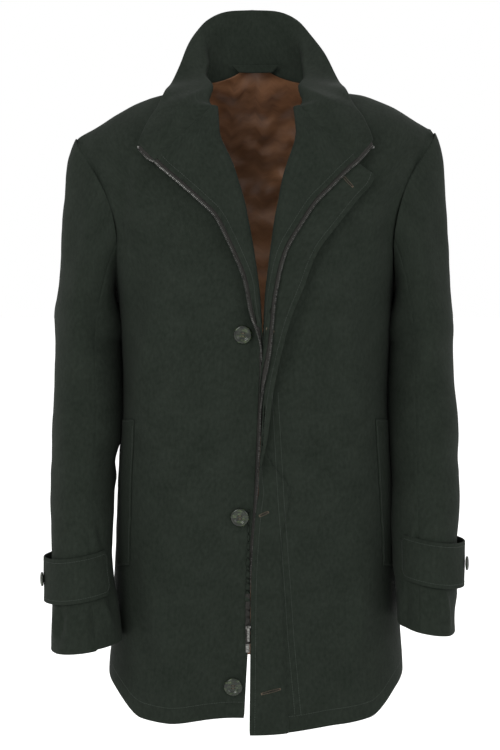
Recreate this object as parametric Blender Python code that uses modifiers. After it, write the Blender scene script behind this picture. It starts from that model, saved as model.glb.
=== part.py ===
"""A men's car coat, filled out with no wearer and worn open.

Frame: metres, +Z up, the coat faces -Y and the wearer's left is +X. The origin is on the
centre plane at the level of the shoulder points of the neck, where a wearer's shoulders hold it.
Sizes below are in millimetres.
"""
import math

import bmesh
import bpy
from mathutils import Vector

MM = 0.001

# Cloth and seams
SHELL_WALL = 1.8
FACING_WALL = 1.2
COLLAR_WALL = 3.0
LINING_WALL = 1.0
SEAM_GAP = 0.5
LAYER_GAP = 0.7

# Heights
SHOULDER_TIP_Z = -66.0
ARMPIT_Z = -262.0
ROLL_TOP = (55.0, -74.0)
NECK_HALF_WIDTH = 79.0
NECK_BACK_DEPTH = 66.0

# Turned edge
ROLL_RADIUS = 4.5
ROLL_ARC = math.pi * ROLL_RADIUS
LEAF_LIFT = 11.0

RIGHT = -1.0
LEFT = 1.0

# Horizontal sections of the body: height, half width, depth in front, depth behind, roundness
BODY_SECTIONS = (
    (-840, 198, 139, 122, 2.5),
    (-780, 195, 139, 122, 2.5),
    (-720, 191, 140, 122, 2.5),
    (-620, 187, 142, 121, 2.5),
    (-514, 182, 144, 118, 2.5),
    (-420, 176, 146, 114, 2.5),
    (-333, 177, 148, 118, 2.45),
    (-262, 182, 147, 124, 2.4),
    (-208, 196, 141, 128, 2.35),
    (-150, 214, 131, 130, 2.3),
    (-110, 226, 121, 128, 2.2),
    (-66, 234, 105, 118, 2.1),
    (-48, 207, 94, 110, 2.0),
    (-30, 178, 79, 101, 2.0),
    (-12, 140, 58, 92, 2.0),
    (-3, 108, 44, 86, 2.0),
    (12, 79, 30, 79, 2.0),
    (26, 54, 18, 73, 2.0),
    (40, 34, 10, 66, 2.0),
    (54, 18, 4, 50, 2.0),
)

# Turned front edges: height of the row, the roll's innermost x, how far it is folded (degrees),
# the zip edge and the fly's free edge, both as distances past the roll in the front view
RIGHT_EDGE = (
    (-840, -18, 0, 10),
    (-795, -17, 0, 10),
    (-705, -14, 0, 10),
    (-620, -11, 0, 10),
    (-534, -8, 0, 10),
    (-440, -4, 0, 10),
    (-380, -2, 15, 10),
    (-333, 0, 80, 11),
    (-290, 0, 150, 15),
    (-250, -1, 180, 19),
    (-231, -3, 180, 22),
    (-188, -9, 180, 34),
    (-162, -14, 180, 43),
    (-143, -18, 180, 58),
    (-120, -25, 180, 77),
    (-99, -32, 180, 94),
    (-70, -43, 180, 104),
    (-37, -55, 180, 104),
)
LEFT_EDGE = (
    (-840, -3, 0, -26, 0),
    (-821, -3, 0, -25, 0),
    (-719, -2, 0, -19, 0),
    (-620, -1, 0, -14, 0),
    (-560, 0, 10, -12, 0),
    (-518, 1, 60, -10, 8),
    (-470, 3, 120, -5, 16),
    (-424, 6, 165, 0, 22),
    (-380, 8, 180, 6, 25),
    (-333, 11, 180, 12, 30),
    (-290, 13, 180, 14, 40),
    (-256, 15, 180, 16, 52),
    (-207, 21, 180, 22, 66),
    (-170, 26, 180, 38, 90),
    (-145, 31, 180, 50, 107),
    (-128, 34, 180, 64, 121),
    (-108, 39, 180, 80, 122),
    (-82, 46, 180, 100, 122),
    (-37, 56, 180, 104, 122),
)
GORGE_DROP = 68.0
GORGE_RUN = 70.0

# Collar: along it from the centre back, then the crest and the free edge (mirrored for the right)
COLLAR_STATIONS = (
    (0.00, (0, 78, 78), (0, 84, 112)),
    (0.14, (37, 72, 75), (37, 80, 109)),
    (0.26, (60, 56, 65), (63, 74, 97)),
    (0.36, (66, 38, 52), (79, 60, 79)),
    (0.46, (66, 16, 36), (94, 38, 53)),
    (0.56, (64, -12, 16), (111, 0, 8)),
    (0.64, (64, -44, 0), (118, -42, -6)),
    (0.70, (88, -74, -16), (124, -64, -24)),
    (0.78, (96, -88, -32), (132, -77, -41)),
    (0.88, (116, -102, -58), (140, -87, -58)),
    (1.00, (135, -105, -85), (146, -94, -74)),
)


def interpolate(rows, key):
    """The columns of a table at a value of its first column, on a smooth curve."""
    if key <= rows[0][0]:
        return rows[0][1:]
    if key >= rows[-1][0]:
        return rows[-1][1:]
    index = max(i for i in range(len(rows) - 1) if rows[i][0] <= key)
    before = rows[max(index - 1, 0)]
    start, end = rows[index], rows[index + 1]
    after = rows[min(index + 2, len(rows) - 1)]
    span = end[0] - start[0]
    part = (key - start[0]) / span
    result = []
    for column in range(1, len(start)):
        slope_in = (end[column] - before[column]) / (end[0] - before[0]) * span
        slope_out = (after[column] - start[column]) / (after[0] - start[0]) * span
        result.append(hermite(start[column], end[column], slope_in, slope_out, part))
    return result


def hermite(start, end, slope_in, slope_out, part):
    """A cubic from start to end with the given slopes; numbers or vectors."""
    square, cube = part * part, part ** 3
    return (start * (2 * cube - 3 * square + 1) + slope_in * (cube - 2 * square + part)
            + end * (3 * square - 2 * cube) + slope_out * (cube - square))


def smooth_step(low, high, value):
    """0 below low, 1 above high, and a soft change between."""
    part = min(max((value - low) / (high - low), 0.0), 1.0)
    return part * part * (3 - 2 * part)


# ---------------------------------------------------------------- the body's form

def half_width(z):
    """Half the width of the body at a height."""
    return interpolate(BODY_SECTIONS, z)[0]


def form_y(x, z, front):
    """Depth of the body's outer surface at a width and a height."""
    width, front_depth, back_depth, roundness = interpolate(BODY_SECTIONS, z)
    inside = max(1.0 - (abs(x) / width) ** roundness, 0.0)
    reach = inside ** (1.0 / roundness)
    return -front_depth * reach if front else back_depth * reach


def form_top_z(x, y):
    """Height of the shoulder's surface over a point of the plan."""
    low, high = SHOULDER_TIP_Z, BODY_SECTIONS[-1][0]
    for _ in range(40):
        middle = (low + high) / 2
        width, front_depth, back_depth, roundness = interpolate(BODY_SECTIONS, middle)
        depth = front_depth if y < 0 else back_depth
        outside = (abs(x) / width) ** roundness + (abs(y) / depth) ** roundness
        if outside < 1.0:
            low = middle
        else:
            high = middle
    return (low + high) / 2


def around_point(angle, z):
    """A point of a section by its angle: 0 centre front, 90 side, 180 centre back."""
    width, front_depth, back_depth, roundness = interpolate(BODY_SECTIONS, z)
    power = 2.0 / roundness
    cosine = math.cos(math.radians(angle))
    x = width * abs(math.sin(math.radians(angle))) ** power
    depth = front_depth if cosine > 0 else back_depth
    y = -math.copysign(depth * abs(cosine) ** power, cosine)
    return x, y


def armhole_part(z):
    """0 at the armpit and at the shoulder tip, 1 at the widest of the armhole."""
    part = (z - ARMPIT_Z) / (SHOULDER_TIP_Z - ARMPIT_Z)
    if not 0.0 < part < 1.0:
        return 0.0
    return math.sin(math.pi * part) ** 0.55


ARMHOLE_FRONT_ANGLE = 32.0
ARMHOLE_BACK_ANGLE = 30.0


def side_angle(z, front):
    """The angle of a panel's outer edge: the side seam, or the armhole above it."""
    if front:
        return 90.0 - ARMHOLE_FRONT_ANGLE * armhole_part(z)
    return 90.0 + ARMHOLE_BACK_ANGLE * armhole_part(z)


def neck_plan(angle):
    """The neck seam in plan: 0 at the shoulder seam, 90 at the centre back, down to the roll."""
    if angle >= 0:
        return (NECK_HALF_WIDTH * math.cos(math.radians(angle)),
                NECK_BACK_DEPTH * math.sin(math.radians(angle)))
    front_depth = -ROLL_TOP[1] / math.sqrt(1 - (ROLL_TOP[0] / NECK_HALF_WIDTH) ** 2)
    return (NECK_HALF_WIDTH * math.cos(math.radians(angle)),
            front_depth * math.sin(math.radians(angle)))


ROLL_ANGLE = -math.degrees(math.acos(ROLL_TOP[0] / NECK_HALF_WIDTH))


# ---------------------------------------------------------------- cloth walls

def make_material(name, colour, roughness, metallic=0.0):
    """A Principled material with one finish."""
    material = bpy.data.materials.new(name)
    material.use_nodes = True
    shader = material.node_tree.nodes["Principled BSDF"]
    shader.inputs["Base Color"].default_value = (*colour, 1.0)
    shader.inputs["Roughness"].default_value = roughness
    shader.inputs["Metallic"].default_value = metallic
    return material


def add_object(name, mesh, material):
    """Puts a mesh in the coat's collection."""
    obj = bpy.data.objects.new(name, mesh)
    bpy.data.collections["car_coat"].objects.link(obj)
    mesh.materials.append(material)
    return obj


def surface_normal(surface, u, v, flip):
    """The normal of a surface function from its own slopes."""
    step = 0.004
    low_u, high_u = max(u - step, 0.0), min(u + step, 1.0)
    low_v, high_v = max(v - step, 0.0), min(v + step, 1.0)
    along = surface(high_u, v) - surface(low_u, v)
    up = surface(u, high_v) - surface(u, low_v)
    normal = along.cross(up).normalized()
    return -normal if flip else normal


def stations(count):
    """Evenly spaced values from 0 to 1."""
    return [index / count for index in range(count + 1)]


def cloth_wall(name, columns, rows, surface, material, wall, lift=0.0, flip=False):
    """A closed cloth wall between a surface moved out by lift and one wall further in.

    surface(u, v) gives the outer face in millimetres; columns and rows are the values of u and v.
    """
    mesh = bmesh.new()
    bmesh.ops.create_grid(mesh, x_segments=len(columns) - 1, y_segments=len(rows) - 1, size=1.0)
    outer, inner, cell_of = {}, {}, {}
    for vert in mesh.verts:
        column = round((vert.co.x + 1) / 2 * (len(columns) - 1))
        row = round((vert.co.y + 1) / 2 * (len(rows) - 1))
        u, v = columns[column], rows[row]
        point = surface(u, v)
        normal = surface_normal(surface, u, v, flip)
        key = (column, row)
        cell_of[vert] = key
        outer[key] = point + normal * lift
        inner[key] = point + normal * (lift - wall)
    faces = list(mesh.faces)
    marks = {(round(vert.co.x, 5), round(vert.co.y, 5)): cell_of[vert] for vert in mesh.verts}
    copied = bmesh.ops.extrude_face_region(mesh, geom=faces, use_keep_orig=True)
    new_verts = {item for item in copied["geom"] if isinstance(item, bmesh.types.BMVert)}
    for vert in mesh.verts:
        key = marks[(round(vert.co.x, 5), round(vert.co.y, 5))]
        vert.co = (inner if vert in new_verts else outer)[key] * MM
    bmesh.ops.recalc_face_normals(mesh, faces=mesh.faces)
    if mesh.calc_volume(signed=True) < 0:
        bmesh.ops.reverse_faces(mesh, faces=mesh.faces)
    data = bpy.data.meshes.new(name)
    mesh.to_mesh(data)
    mesh.free()
    return add_object(name, data, material)


# ---------------------------------------------------------------- fronts

def edge_row(side, z):
    """The turned edge at a height: roll x, fold angle, zip edge and fly edge past the roll."""
    if side == RIGHT:
        roll_x, fold, zip_edge = interpolate(RIGHT_EDGE, z)
        return -roll_x, math.radians(max(fold, 0.0)), zip_edge, zip_edge
    roll_x, fold, zip_edge, fly_edge = interpolate(LEFT_EDGE, z)
    return roll_x, math.radians(max(fold, 0.0)), zip_edge, fly_edge


def roll_reach(fold, edge):
    """How far the roll stands out beyond the torso's end towards the centre."""
    if fold < 0.02:
        return min(edge, ROLL_ARC)
    return min(edge, ROLL_ARC / fold * math.sin(min(fold, math.pi / 2)))


# The row that ends at the shoulder tip, and the share of a panel's top that is neck seam
TIP_ROW = 0.80
NECK_SHARE = 0.36
# Heights of the hem: the plain rows' low end, the side seam, its dip and the front corners
HEM_ROW_Z = -800.0
HEM_SIDE_Z = -779.0
HEM_DIP = 30.0
HEM_CORNER_Z = {RIGHT: -797.0, LEFT: -819.0}


def hem_z(side, fraction):
    """Height of the hem from the side seam (0) to the front edge (1)."""
    dip = math.sin(math.pi * min(fraction, 0.75) / 1.5)
    middle = HEM_SIDE_Z - HEM_DIP * dip
    return middle + (HEM_CORNER_Z[side] - middle) * smooth_step(0.7, 1.0, fraction)


def hem_shift(side, fraction, v):
    """How far a row near the hem moves from its plain height."""
    return (hem_z(side, fraction) - HEM_ROW_Z) * (1 - v / TIP_ROW) ** 4


def row_height(v):
    """Height of a front's row below the shoulder tip, before the hem's own curve."""
    return HEM_ROW_Z + (SHOULDER_TIP_Z - HEM_ROW_Z) * min(v / TIP_ROW, 1.0)


def row_of(z):
    """The row at a height below the shoulder tip."""
    return (z - HEM_ROW_Z) / (SHOULDER_TIP_Z - HEM_ROW_Z) * TIP_ROW


def roll_base(side, v):
    """Where the torso ends and the roll begins, mirrored to the positive side."""
    z = row_height(v)
    roll_x, fold, _, last_edge = edge_row(side, z)
    x = roll_x + roll_reach(fold, last_edge)
    y = form_y(x, z, True)
    if v <= TIP_ROW:
        return Vector((x, y, z))
    part = (v - TIP_ROW) / (1 - TIP_ROW)
    plan_x = x + (ROLL_TOP[0] - x) * part
    plan_y = y + (ROLL_TOP[1] - y) * part
    return Vector((plan_x, plan_y, form_top_z(plan_x, plan_y)))


def top_boundary(fraction, front):
    """Neck seam then shoulder seam in plan, from the roll or centre back (0) to the tip (1)."""
    if fraction < NECK_SHARE:
        start = ROLL_ANGLE if front else 90.0
        return neck_plan(start * (1 - fraction / NECK_SHARE))
    part = (fraction - NECK_SHARE) / (1 - NECK_SHARE)
    return NECK_HALF_WIDTH + (half_width(SHOULDER_TIP_Z) - NECK_HALF_WIDTH) * part, 0.0


def torso_point(side, outward, v):
    """The front from the roll (outward 0) to the side seam, armhole or shoulder seam (1)."""
    z = row_height(v)
    base = roll_base(side, min(v, TIP_ROW))
    low = SEAM_GAP / 2
    start = section_angle(base.x, z)
    end = side_angle(z, True) - math.degrees(low / half_width(z))
    angle = start + (end - start) * outward
    x, y = around_point(angle, z)
    if angle < 0:
        x = -x
    if v <= TIP_ROW:
        return Vector((x, y, z + hem_shift(side, 1 - outward, v)))
    part = (v - TIP_ROW) / (1 - TIP_ROW)
    top_x, top_y = top_boundary(outward, True)
    plan_x = x + (top_x - x) * part
    plan_y = min(y + (top_y - y) * part, -low)
    return Vector((plan_x, plan_y, form_top_z(plan_x, plan_y)))


def gorge_drop(past):
    """How far the gorge falls below the roll's top, by the distance past the roll."""
    return GORGE_DROP * (past / GORGE_RUN) ** 0.9 if past > 0 else 0.0


def gorge_share(v):
    """How much of the gorge's fall a row takes."""
    return smooth_step(0.25, 1.0, v) ** 1.6


def turned_point(side, past, v):
    """A point of the cloth past the roll's start: round the roll, then out over the chest."""
    base = roll_base(side, v)
    _, fold, _, _ = edge_row(side, base.z)
    height = base.z - gorge_drop(max(past - ROLL_ARC, 0.0)) * gorge_share(v)
    if v <= TIP_ROW:
        height += hem_shift(side, 1.0, v)
    slope = Vector((1.0, form_y(base.x + 1, base.z, True) - form_y(base.x - 1, base.z, True), 0))
    slope.x = 2.0
    outward = slope.normalized()
    proud = Vector((outward.y, -outward.x, 0))
    turned = min(past, ROLL_ARC) / ROLL_ARC * fold
    if fold < 0.02:
        point = base - outward * min(past, ROLL_ARC)
    else:
        radius = ROLL_ARC / fold
        point = base - outward * (radius * math.sin(turned)) + proud * (radius * (1 - math.cos(turned)))
    if past > ROLL_ARC:
        straight = -outward * math.cos(fold) + proud * math.sin(fold)
        length = past - ROLL_ARC
        point = point + straight * length
        x = base.x + length
        lift = LEAF_LIFT + (2 * ROLL_RADIUS - LEAF_LIFT) * math.exp(-length / 12.0)
        laid = Vector((x, form_y(x, height, True) - lift, 0))
        share = smooth_step(math.radians(120), math.pi, fold)
        point = point.lerp(laid, share)
    point.z = height
    return point


def outward_of(side, past, v):
    """The torso's share outward of a place that lies a distance (below zero) before the roll."""
    z = row_height(v)
    base_x = roll_base(side, min(v, TIP_ROW)).x
    start, place = section_angle(base_x, z), section_angle(base_x - past, z)
    return (place - start) / (side_angle(z, True) - start)


def section_angle(x, z):
    """The angle round a section at a width, in front."""
    roundness = interpolate(BODY_SECTIONS, z)[3]
    ratio = min(abs(x) / half_width(z), 1.0) ** (roundness / 2.0)
    return math.copysign(math.degrees(math.asin(ratio)), x)


def cloth_point(side, past, v):
    """A point of a front by its distance past the roll; the torso is reached below zero."""
    if past > 0:
        point = turned_point(side, past, v)
    else:
        point = torso_point(side, outward_of(side, past, v), v)
    point.x *= side
    return point


def edge_distance(side, v, fly=False):
    """Distance past the roll, on a row, of the zip edge or of the fly's free edge."""
    base = roll_base(side, v)

    def overshoot(distance):
        height = base.z - gorge_drop(distance - ROLL_ARC) * gorge_share(v)
        roll_x, fold, zip_edge, fly_edge = edge_row(side, height)
        wanted = roll_x + roll_reach(fold, fly_edge) + (fly_edge if fly else zip_edge)
        return base.x + distance - wanted

    low, high = -60.0, 190.0
    for _ in range(40):
        middle = (low + high) / 2
        if overshoot(middle) > 0:
            high = middle
        else:
            low = middle
    return (low + high) / 2


SIDE_NAMES = {RIGHT: "right", LEFT: "left"}
TORSO_SHARE = 0.5
ARMHOLE_ROWS = [0.587, 0.597, 0.62, 0.655, 0.695, 0.735, 0.77, 0.792, 0.80]
SHOULDER_ROWS = [0.86, 0.92, 0.97, 1.0]
HIGH_ROWS = ARMHOLE_ROWS + SHOULDER_ROWS
FRONT_ROWS = [0.0, 0.04, 0.11, 0.20, 0.29, 0.34, 0.385, 0.43, 0.48, 0.54] + HIGH_ROWS
BACK_ROWS = [0.0, 0.08, 0.18, 0.28, 0.37, 0.46, 0.53] + HIGH_ROWS
EDGE_STRIP = 14.0
ARC_STATIONS = 5
LEAF_COLUMNS = 3
TORSO_COLUMNS = 7


def front_surface(side):
    """The outer face of a front: u from the side seam to the zip edge, v from the hem up."""
    edges = {}

    def surface(u, v):
        if v not in edges:
            edges[v] = edge_distance(side, v)
        edge = edges[v]
        start = min(0.0, edge - EDGE_STRIP)
        if u <= TORSO_SHARE:
            inner = outward_of(side, start, v)
            point = torso_point(side, 1.0 + (inner - 1.0) * u / TORSO_SHARE, v)
            point.x *= side
            return point
        return cloth_point(side, past_of(edge, (u - TORSO_SHARE) / (1 - TORSO_SHARE)), v)

    return surface


def past_of(edge, part):
    """Distance past the roll of a place between the torso's inner end (0) and the edge (1)."""
    start = min(0.0, edge - EDGE_STRIP)
    middle = min(start + (edge - start) / 2, ROLL_ARC)
    if part < 0.5:
        return start + (middle - start) * part / 0.5
    return middle + (edge - middle) * (part - 0.5) / 0.5


def front_columns():
    """Columns of a front: over the torso, round the roll and over the leaf."""
    rest = 1 - TORSO_SHARE
    torso = [TORSO_SHARE * part for part in stations(TORSO_COLUMNS)]
    roll = [TORSO_SHARE + rest / 2 * part for part in stations(ARC_STATIONS)[1:]]
    leaf = [TORSO_SHARE + rest / 2 + rest / 2 * part for part in stations(LEAF_COLUMNS)[1:]]
    return torso + roll + leaf


def build_front(side, material):
    """One front with its turned leaf."""
    cloth_wall("front_" + SIDE_NAMES[side], front_columns(), FRONT_ROWS, front_surface(side),
               material, SHELL_WALL, flip=side == LEFT)


FACING_LOW = 0.30


def build_facing(side, material):
    """The cloth that faces the turned leaf, from just inside the roll to the zip edge."""
    rows = [v for v in FRONT_ROWS if v >= FACING_LOW]
    cloth_wall("facing_" + SIDE_NAMES[side], front_columns()[TORSO_COLUMNS - 1:], rows,
               front_surface(side), material, FACING_WALL, lift=-(SHELL_WALL + LAYER_GAP),
               flip=side == LEFT)


FLY_INBOARD = 24.0
FLY_WALL = 1.6
# Where the front is turned, the fly starts this far past its roll
FLY_CLEAR = 2.0


def fly_surface(u, v):
    """The fly's under face: u from its stitched edge to its free edge, v from the hem up."""
    zip_edge = edge_distance(LEFT, v)
    free_edge = edge_distance(LEFT, v, fly=True)
    start = zip_edge - FLY_INBOARD
    fold = edge_row(LEFT, row_height(v))[1]
    clear = max(min(ROLL_ARC + FLY_CLEAR, zip_edge) - start, 0.0)
    start += clear * smooth_step(math.radians(80), math.radians(140), fold)
    return cloth_point(LEFT, start + (free_edge - start) * u, v)


def build_fly(material):
    """The over-leaf that covers the zip on the wearer's left."""
    rows = FRONT_ROWS[:-1] + [0.99]
    cloth_wall("fly_placket", stations(6), rows, fly_surface, material, FLY_WALL,
               lift=LAYER_GAP * 2 + FLY_WALL, flip=True)


def back_surface(u, v):
    """The outer face of the back: u from the wearer's left to the right, v from the hem up."""
    across = 2 * u - 1
    side = -1.0 if across > 0 else 1.0
    outward = abs(across)
    z = row_height(v)
    end = side_angle(z, False) + math.degrees(SEAM_GAP / 2 / half_width(z))
    angle = 180.0 + (end - 180.0) * outward
    x, y = around_point(angle, z)
    if v <= TIP_ROW:
        return Vector((x * side, y, z + hem_shift(LEFT, 0.0, v)))
    part = (v - TIP_ROW) / (1 - TIP_ROW)
    top_x, top_y = top_boundary(outward, False)
    plan_x = x + (top_x - x) * part
    plan_y = max(y + (top_y - y) * part, SEAM_GAP / 2)
    return Vector((plan_x * side, plan_y, form_top_z(plan_x, plan_y)))


BACK_COLUMNS = 14


def build_back(material):
    """The back in one piece."""
    cloth_wall("back", stations(BACK_COLUMNS), BACK_ROWS, back_surface, material, SHELL_WALL)


def build_lining(material):
    """The satin inside the back, stopping short of the side seams."""
    rows = [v for v in BACK_ROWS if v >= 0.08]
    cloth_wall("back_lining", stations(BACK_COLUMNS)[1:-1], rows, back_surface, material, LINING_WALL,
               lift=-(SHELL_WALL + LAYER_GAP))


# ---------------------------------------------------------------- collar

COLLAR_COLUMNS = 34
COLLAR_ROWS = 4
# Share of the collar's half that is sewn to the neck; the rest is sewn to the gorge
NECK_PART = 0.70
NECK_GAP = 1.2
GORGE_GAP = 3.8


def collar_seam(s):
    """The seam along the neck (0 at the centre back), round the roll and down the gorge (1)."""
    if s < NECK_PART:
        x, y = neck_plan(90.0 + (ROLL_ANGLE - 90.0) * s / NECK_PART)
        return Vector((x, y, form_top_z(x, y)))
    past = edge_distance(LEFT, 1.0) * (s - NECK_PART) / (1 - NECK_PART)
    return turned_point(LEFT, past, 1.0)


def collar_surface(u, v):
    """The collar's outer face: u from the right tip to the left tip, v from seam to free edge."""
    side = -1.0 if u < 0.5 else 1.0
    s = abs(2 * u - 1)
    crest, edge = collar_controls(s)
    seam = collar_seam(s)
    gap = NECK_GAP + (GORGE_GAP - NECK_GAP) * smooth_step(0.36, 0.52, s)
    seam = seam + (crest - seam).normalized() * gap
    point = quadratic_through(seam, crest, edge, v)
    point.x *= side
    return point


def collar_controls(s):
    """Crest and free edge of the collar at a place along it."""
    rows = [(row[0], *row[1], *row[2]) for row in COLLAR_STATIONS]
    values = interpolate(rows, s)
    return Vector(values[:3]), Vector(values[3:])


def quadratic_through(start, middle, end, part):
    """A parabola that passes through three points at 0, a half and 1."""
    return (start * (2 * (part - 0.5) * (part - 1)) + middle * (4 * part * (1 - part))
            + end * (2 * part * (part - 0.5)))


def build_collar(material):
    """The collar in one strip, standing at the back and turned over at the sides."""
    cloth_wall("collar", stations(COLLAR_COLUMNS), stations(COLLAR_ROWS), collar_surface, material, COLLAR_WALL, flip=True)


# ---------------------------------------------------------------- sleeves

# Rings of each sleeve: height, centre x and y, half width, half depth
SLEEVE_RINGS = {
    RIGHT: (
        (-325, 222, -16, 38, 71),
        (-378, 222, -20, 41, 68),
        (-438, 222.5, -28, 42.5, 64),
        (-502, 225, -42, 40, 60),
        (-560, 225.5, -58, 38, 58),
        (-600, 225, -68, 37, 56),
        (-640, 222, -80, 38, 54),
        (-680, 219, -90, 42, 54),
        (-716, 217, -98, 45, 56),
    ),
    LEFT: (
        (-325, 221, -16, 37.5, 71),
        (-378, 221, -20, 40, 68),
        (-438, 222.5, -28, 41, 64),
        (-502, 223.5, -42, 40, 60),
        (-560, 222, -60, 38, 58),
        (-590, 221.5, -68, 37, 56),
        (-628, 221, -80, 36, 54),
        (-665, 220, -90, 35.5, 54),
        (-700, 219.5, -98, 35.5, 56),
    ),
}
# Armhole rows, counted from the armpit, where the sleeve's two seams start
FRONT_SEAM_ROW = 3
BACK_SEAM_ROW = 4
# Half the gap at a sleeve seam, in degrees round the sleeve
SEAM_ANGLE = 0.25
# Share of the sleeve's rows below the armpit, where the plain rings end and the sleeve head begins
RING_SHARE = 0.62
SLEEVE_ROWS = (0.0, 0.07, 0.14, 0.22, 0.31, 0.41, 0.52, RING_SHARE, 0.72, 0.82, 0.91, 1.0)
CUFF_TILT = 6.0
# Slopes of the sleeve head where it leaves the rings and where it meets the armhole
HEAD_LEAN = 6.0
HEAD_INWARD = 18.0
HEAD_ROUND = 60.0
HEAD_DEEP = 8.0
HEAD_RISE = 0.55
ARMHOLE_CLEARANCE = (1.6, -0.8)


def armhole_stations():
    """Angles round the armhole, 0 at the shoulder tip and 90 in front, on the panels' rows."""
    middle = (SHOULDER_TIP_Z + ARMPIT_Z) / 2
    half = (SHOULDER_TIP_Z - ARMPIT_Z) / 2
    heights = [row_height(v) for v in reversed(ARMHOLE_ROWS)]
    return [math.degrees(math.acos(max(-1.0, min(1.0, (z - middle) / half)))) for z in heights]


def armhole_point(angle, front):
    """A point of the armhole seam, on the positive side."""
    middle = (SHOULDER_TIP_Z + ARMPIT_Z) / 2
    half = (SHOULDER_TIP_Z - ARMPIT_Z) / 2
    z = middle + half * math.cos(math.radians(angle))
    x, y = around_point(side_angle(z, front), z)
    plain, lower = ARMHOLE_CLEARANCE
    return Vector((x + plain + lower * math.cos(math.radians(angle)), y, z))


def ring_point(side, z, angle, front):
    """A point of a sleeve's ring: angle 0 outside, 180 against the body."""
    centre_x, centre_y, wide, deep = interpolate(sorted(SLEEVE_RINGS[side]), z)
    turn = math.radians(angle)
    y_sign = -1.0 if front else 1.0
    return Vector((centre_x + wide * math.cos(turn), centre_y + y_sign * deep * math.sin(turn), z))


def sleeve_surface(side, angles):
    """The outer face of a sleeve: u over the given signed angles, v from the cuff (0) to the armhole."""
    rings = SLEEVE_RINGS[side]
    top_z, low_z = rings[0][0], rings[-1][0]

    def surface(u, v):
        signed = (lookup(angles, u) + 180.0) % 360.0 - 180.0
        front, angle = signed >= 0, abs(signed)
        if v <= RING_SHARE:
            z = low_z + (top_z - low_z) * v / RING_SHARE
            tilt = CUFF_TILT * math.cos(math.radians(angle)) * (1 - v / RING_SHARE)
            point = ring_point(side, z, angle, front)
            point.z -= tilt
        else:
            part = (v - RING_SHARE) / (1 - RING_SHARE)
            start = ring_point(side, top_z, angle, front)
            end = armhole_point(angle, front)
            outer = 0.5 + 0.5 * math.cos(math.radians(angle))
            rise = end.z - start.z
            slope_start = Vector((0, HEAD_LEAN, rise))
            slope_end = Vector((-HEAD_INWARD - HEAD_ROUND * outer, HEAD_DEEP if front else -HEAD_DEEP,
                                HEAD_RISE * rise + 10))
            point = hermite(start, end, slope_start, slope_end, part)
        point.x *= side
        return point

    return surface


def lookup(values, u):
    """A list read as a straight-line function of 0 to 1."""
    place = u * (len(values) - 1)
    index = min(int(place), len(values) - 2)
    return values[index] + (values[index + 1] - values[index]) * (place - index)


def build_sleeve(side, material):
    """The top sleeve and the under sleeve."""
    ring = armhole_stations()
    split_front = len(ring) - 1 - FRONT_SEAM_ROW
    split_back = len(ring) - 1 - BACK_SEAM_ROW
    top = [-a for a in reversed(ring[1:split_back + 1])] + ring[:split_front + 1]
    under = ring[split_front:] + [360.0 - a for a in reversed(ring[split_back:-1])]
    for kind, angles in (("top", top), ("under", under)):
        trimmed = [angles[0] + SEAM_ANGLE, *angles[1:-1], angles[-1] - SEAM_ANGLE]
        cloth_wall(f"sleeve_{kind}_{SIDE_NAMES[side]}", stations(len(angles) - 1), SLEEVE_ROWS,
                   sleeve_surface(side, trimmed), material, SHELL_WALL,
                   flip=(side == RIGHT))


# ---------------------------------------------------------------- trim on the panels

STRAP_CENTRE_Z = {RIGHT: -622.0, LEFT: -602.0}
STRAP_WIDTH = 54.0
STRAP_WALL = 2.2
STRAP_START = 148.0
STRAP_END = -62.0
STRAP_PROUD = 7.0
STRAP_CLEARANCE = 3.4


def strap_surface(side):
    """The inner face of a cuff strap: u from the under sleeve over the front to the back."""

    def surface(u, v):
        angle = STRAP_START + (STRAP_END - STRAP_START) * u
        z = STRAP_CENTRE_Z[side] + STRAP_WIDTH * (v - 0.5)
        front = angle >= 0
        centre_x, centre_y, wide, deep = interpolate(sorted(SLEEVE_RINGS[side]), z)
        proud = STRAP_CLEARANCE + STRAP_PROUD * math.exp(-((angle - 4) / 30.0) ** 2)
        turn = math.radians(abs(angle))
        y = (deep + proud) * math.sin(turn)
        point = Vector((centre_x + (wide + proud) * math.cos(turn), centre_y - (y if front else -y), z))
        point.z += 7.0 * math.sin(turn * 0.5) ** 2 - 4.0
        point.x *= side
        return point

    return surface


def build_strap(side, material):
    """The strap round a cuff."""
    cloth_wall("cuff_strap_" + SIDE_NAMES[side], stations(16), stations(2), strap_surface(side),
               material, STRAP_WALL, lift=STRAP_WALL, flip=side == RIGHT)


WELT_TOP_Z = -428.0
WELT_LOW_Z = -617.0
# Angles round the body of the welt's front edge and of its back edge, low and high
WELT_FRONT = 57.5
WELT_BACK = (71.0, 75.0)
WELT_SLANT = 5.0
WELT_WALL = 1.4


def build_welt(side, material):
    """The welt of a side pocket, on the front panel beside the side seam."""

    def surface(u, v):
        z = WELT_LOW_Z + (WELT_TOP_Z - WELT_LOW_Z) * v
        low, high = WELT_BACK
        angle = WELT_FRONT + (low + (high - low) * v - WELT_FRONT) * u
        height = z + WELT_SLANT * (1 - u)
        x, y = around_point(angle, height)
        return Vector((x * side, y, height))

    cloth_wall("welt_" + SIDE_NAMES[side], stations(3), stations(8), surface, material, WELT_WALL,
               lift=LAYER_GAP + WELT_WALL, flip=side == RIGHT)


TAB_LOW_Z = 28.0
TAB_HEIGHT = 9.0
TAB_HALF_LOW = 18.0
TAB_HALF_HIGH = 26.0
TAB_WALL = 1.5


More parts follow.
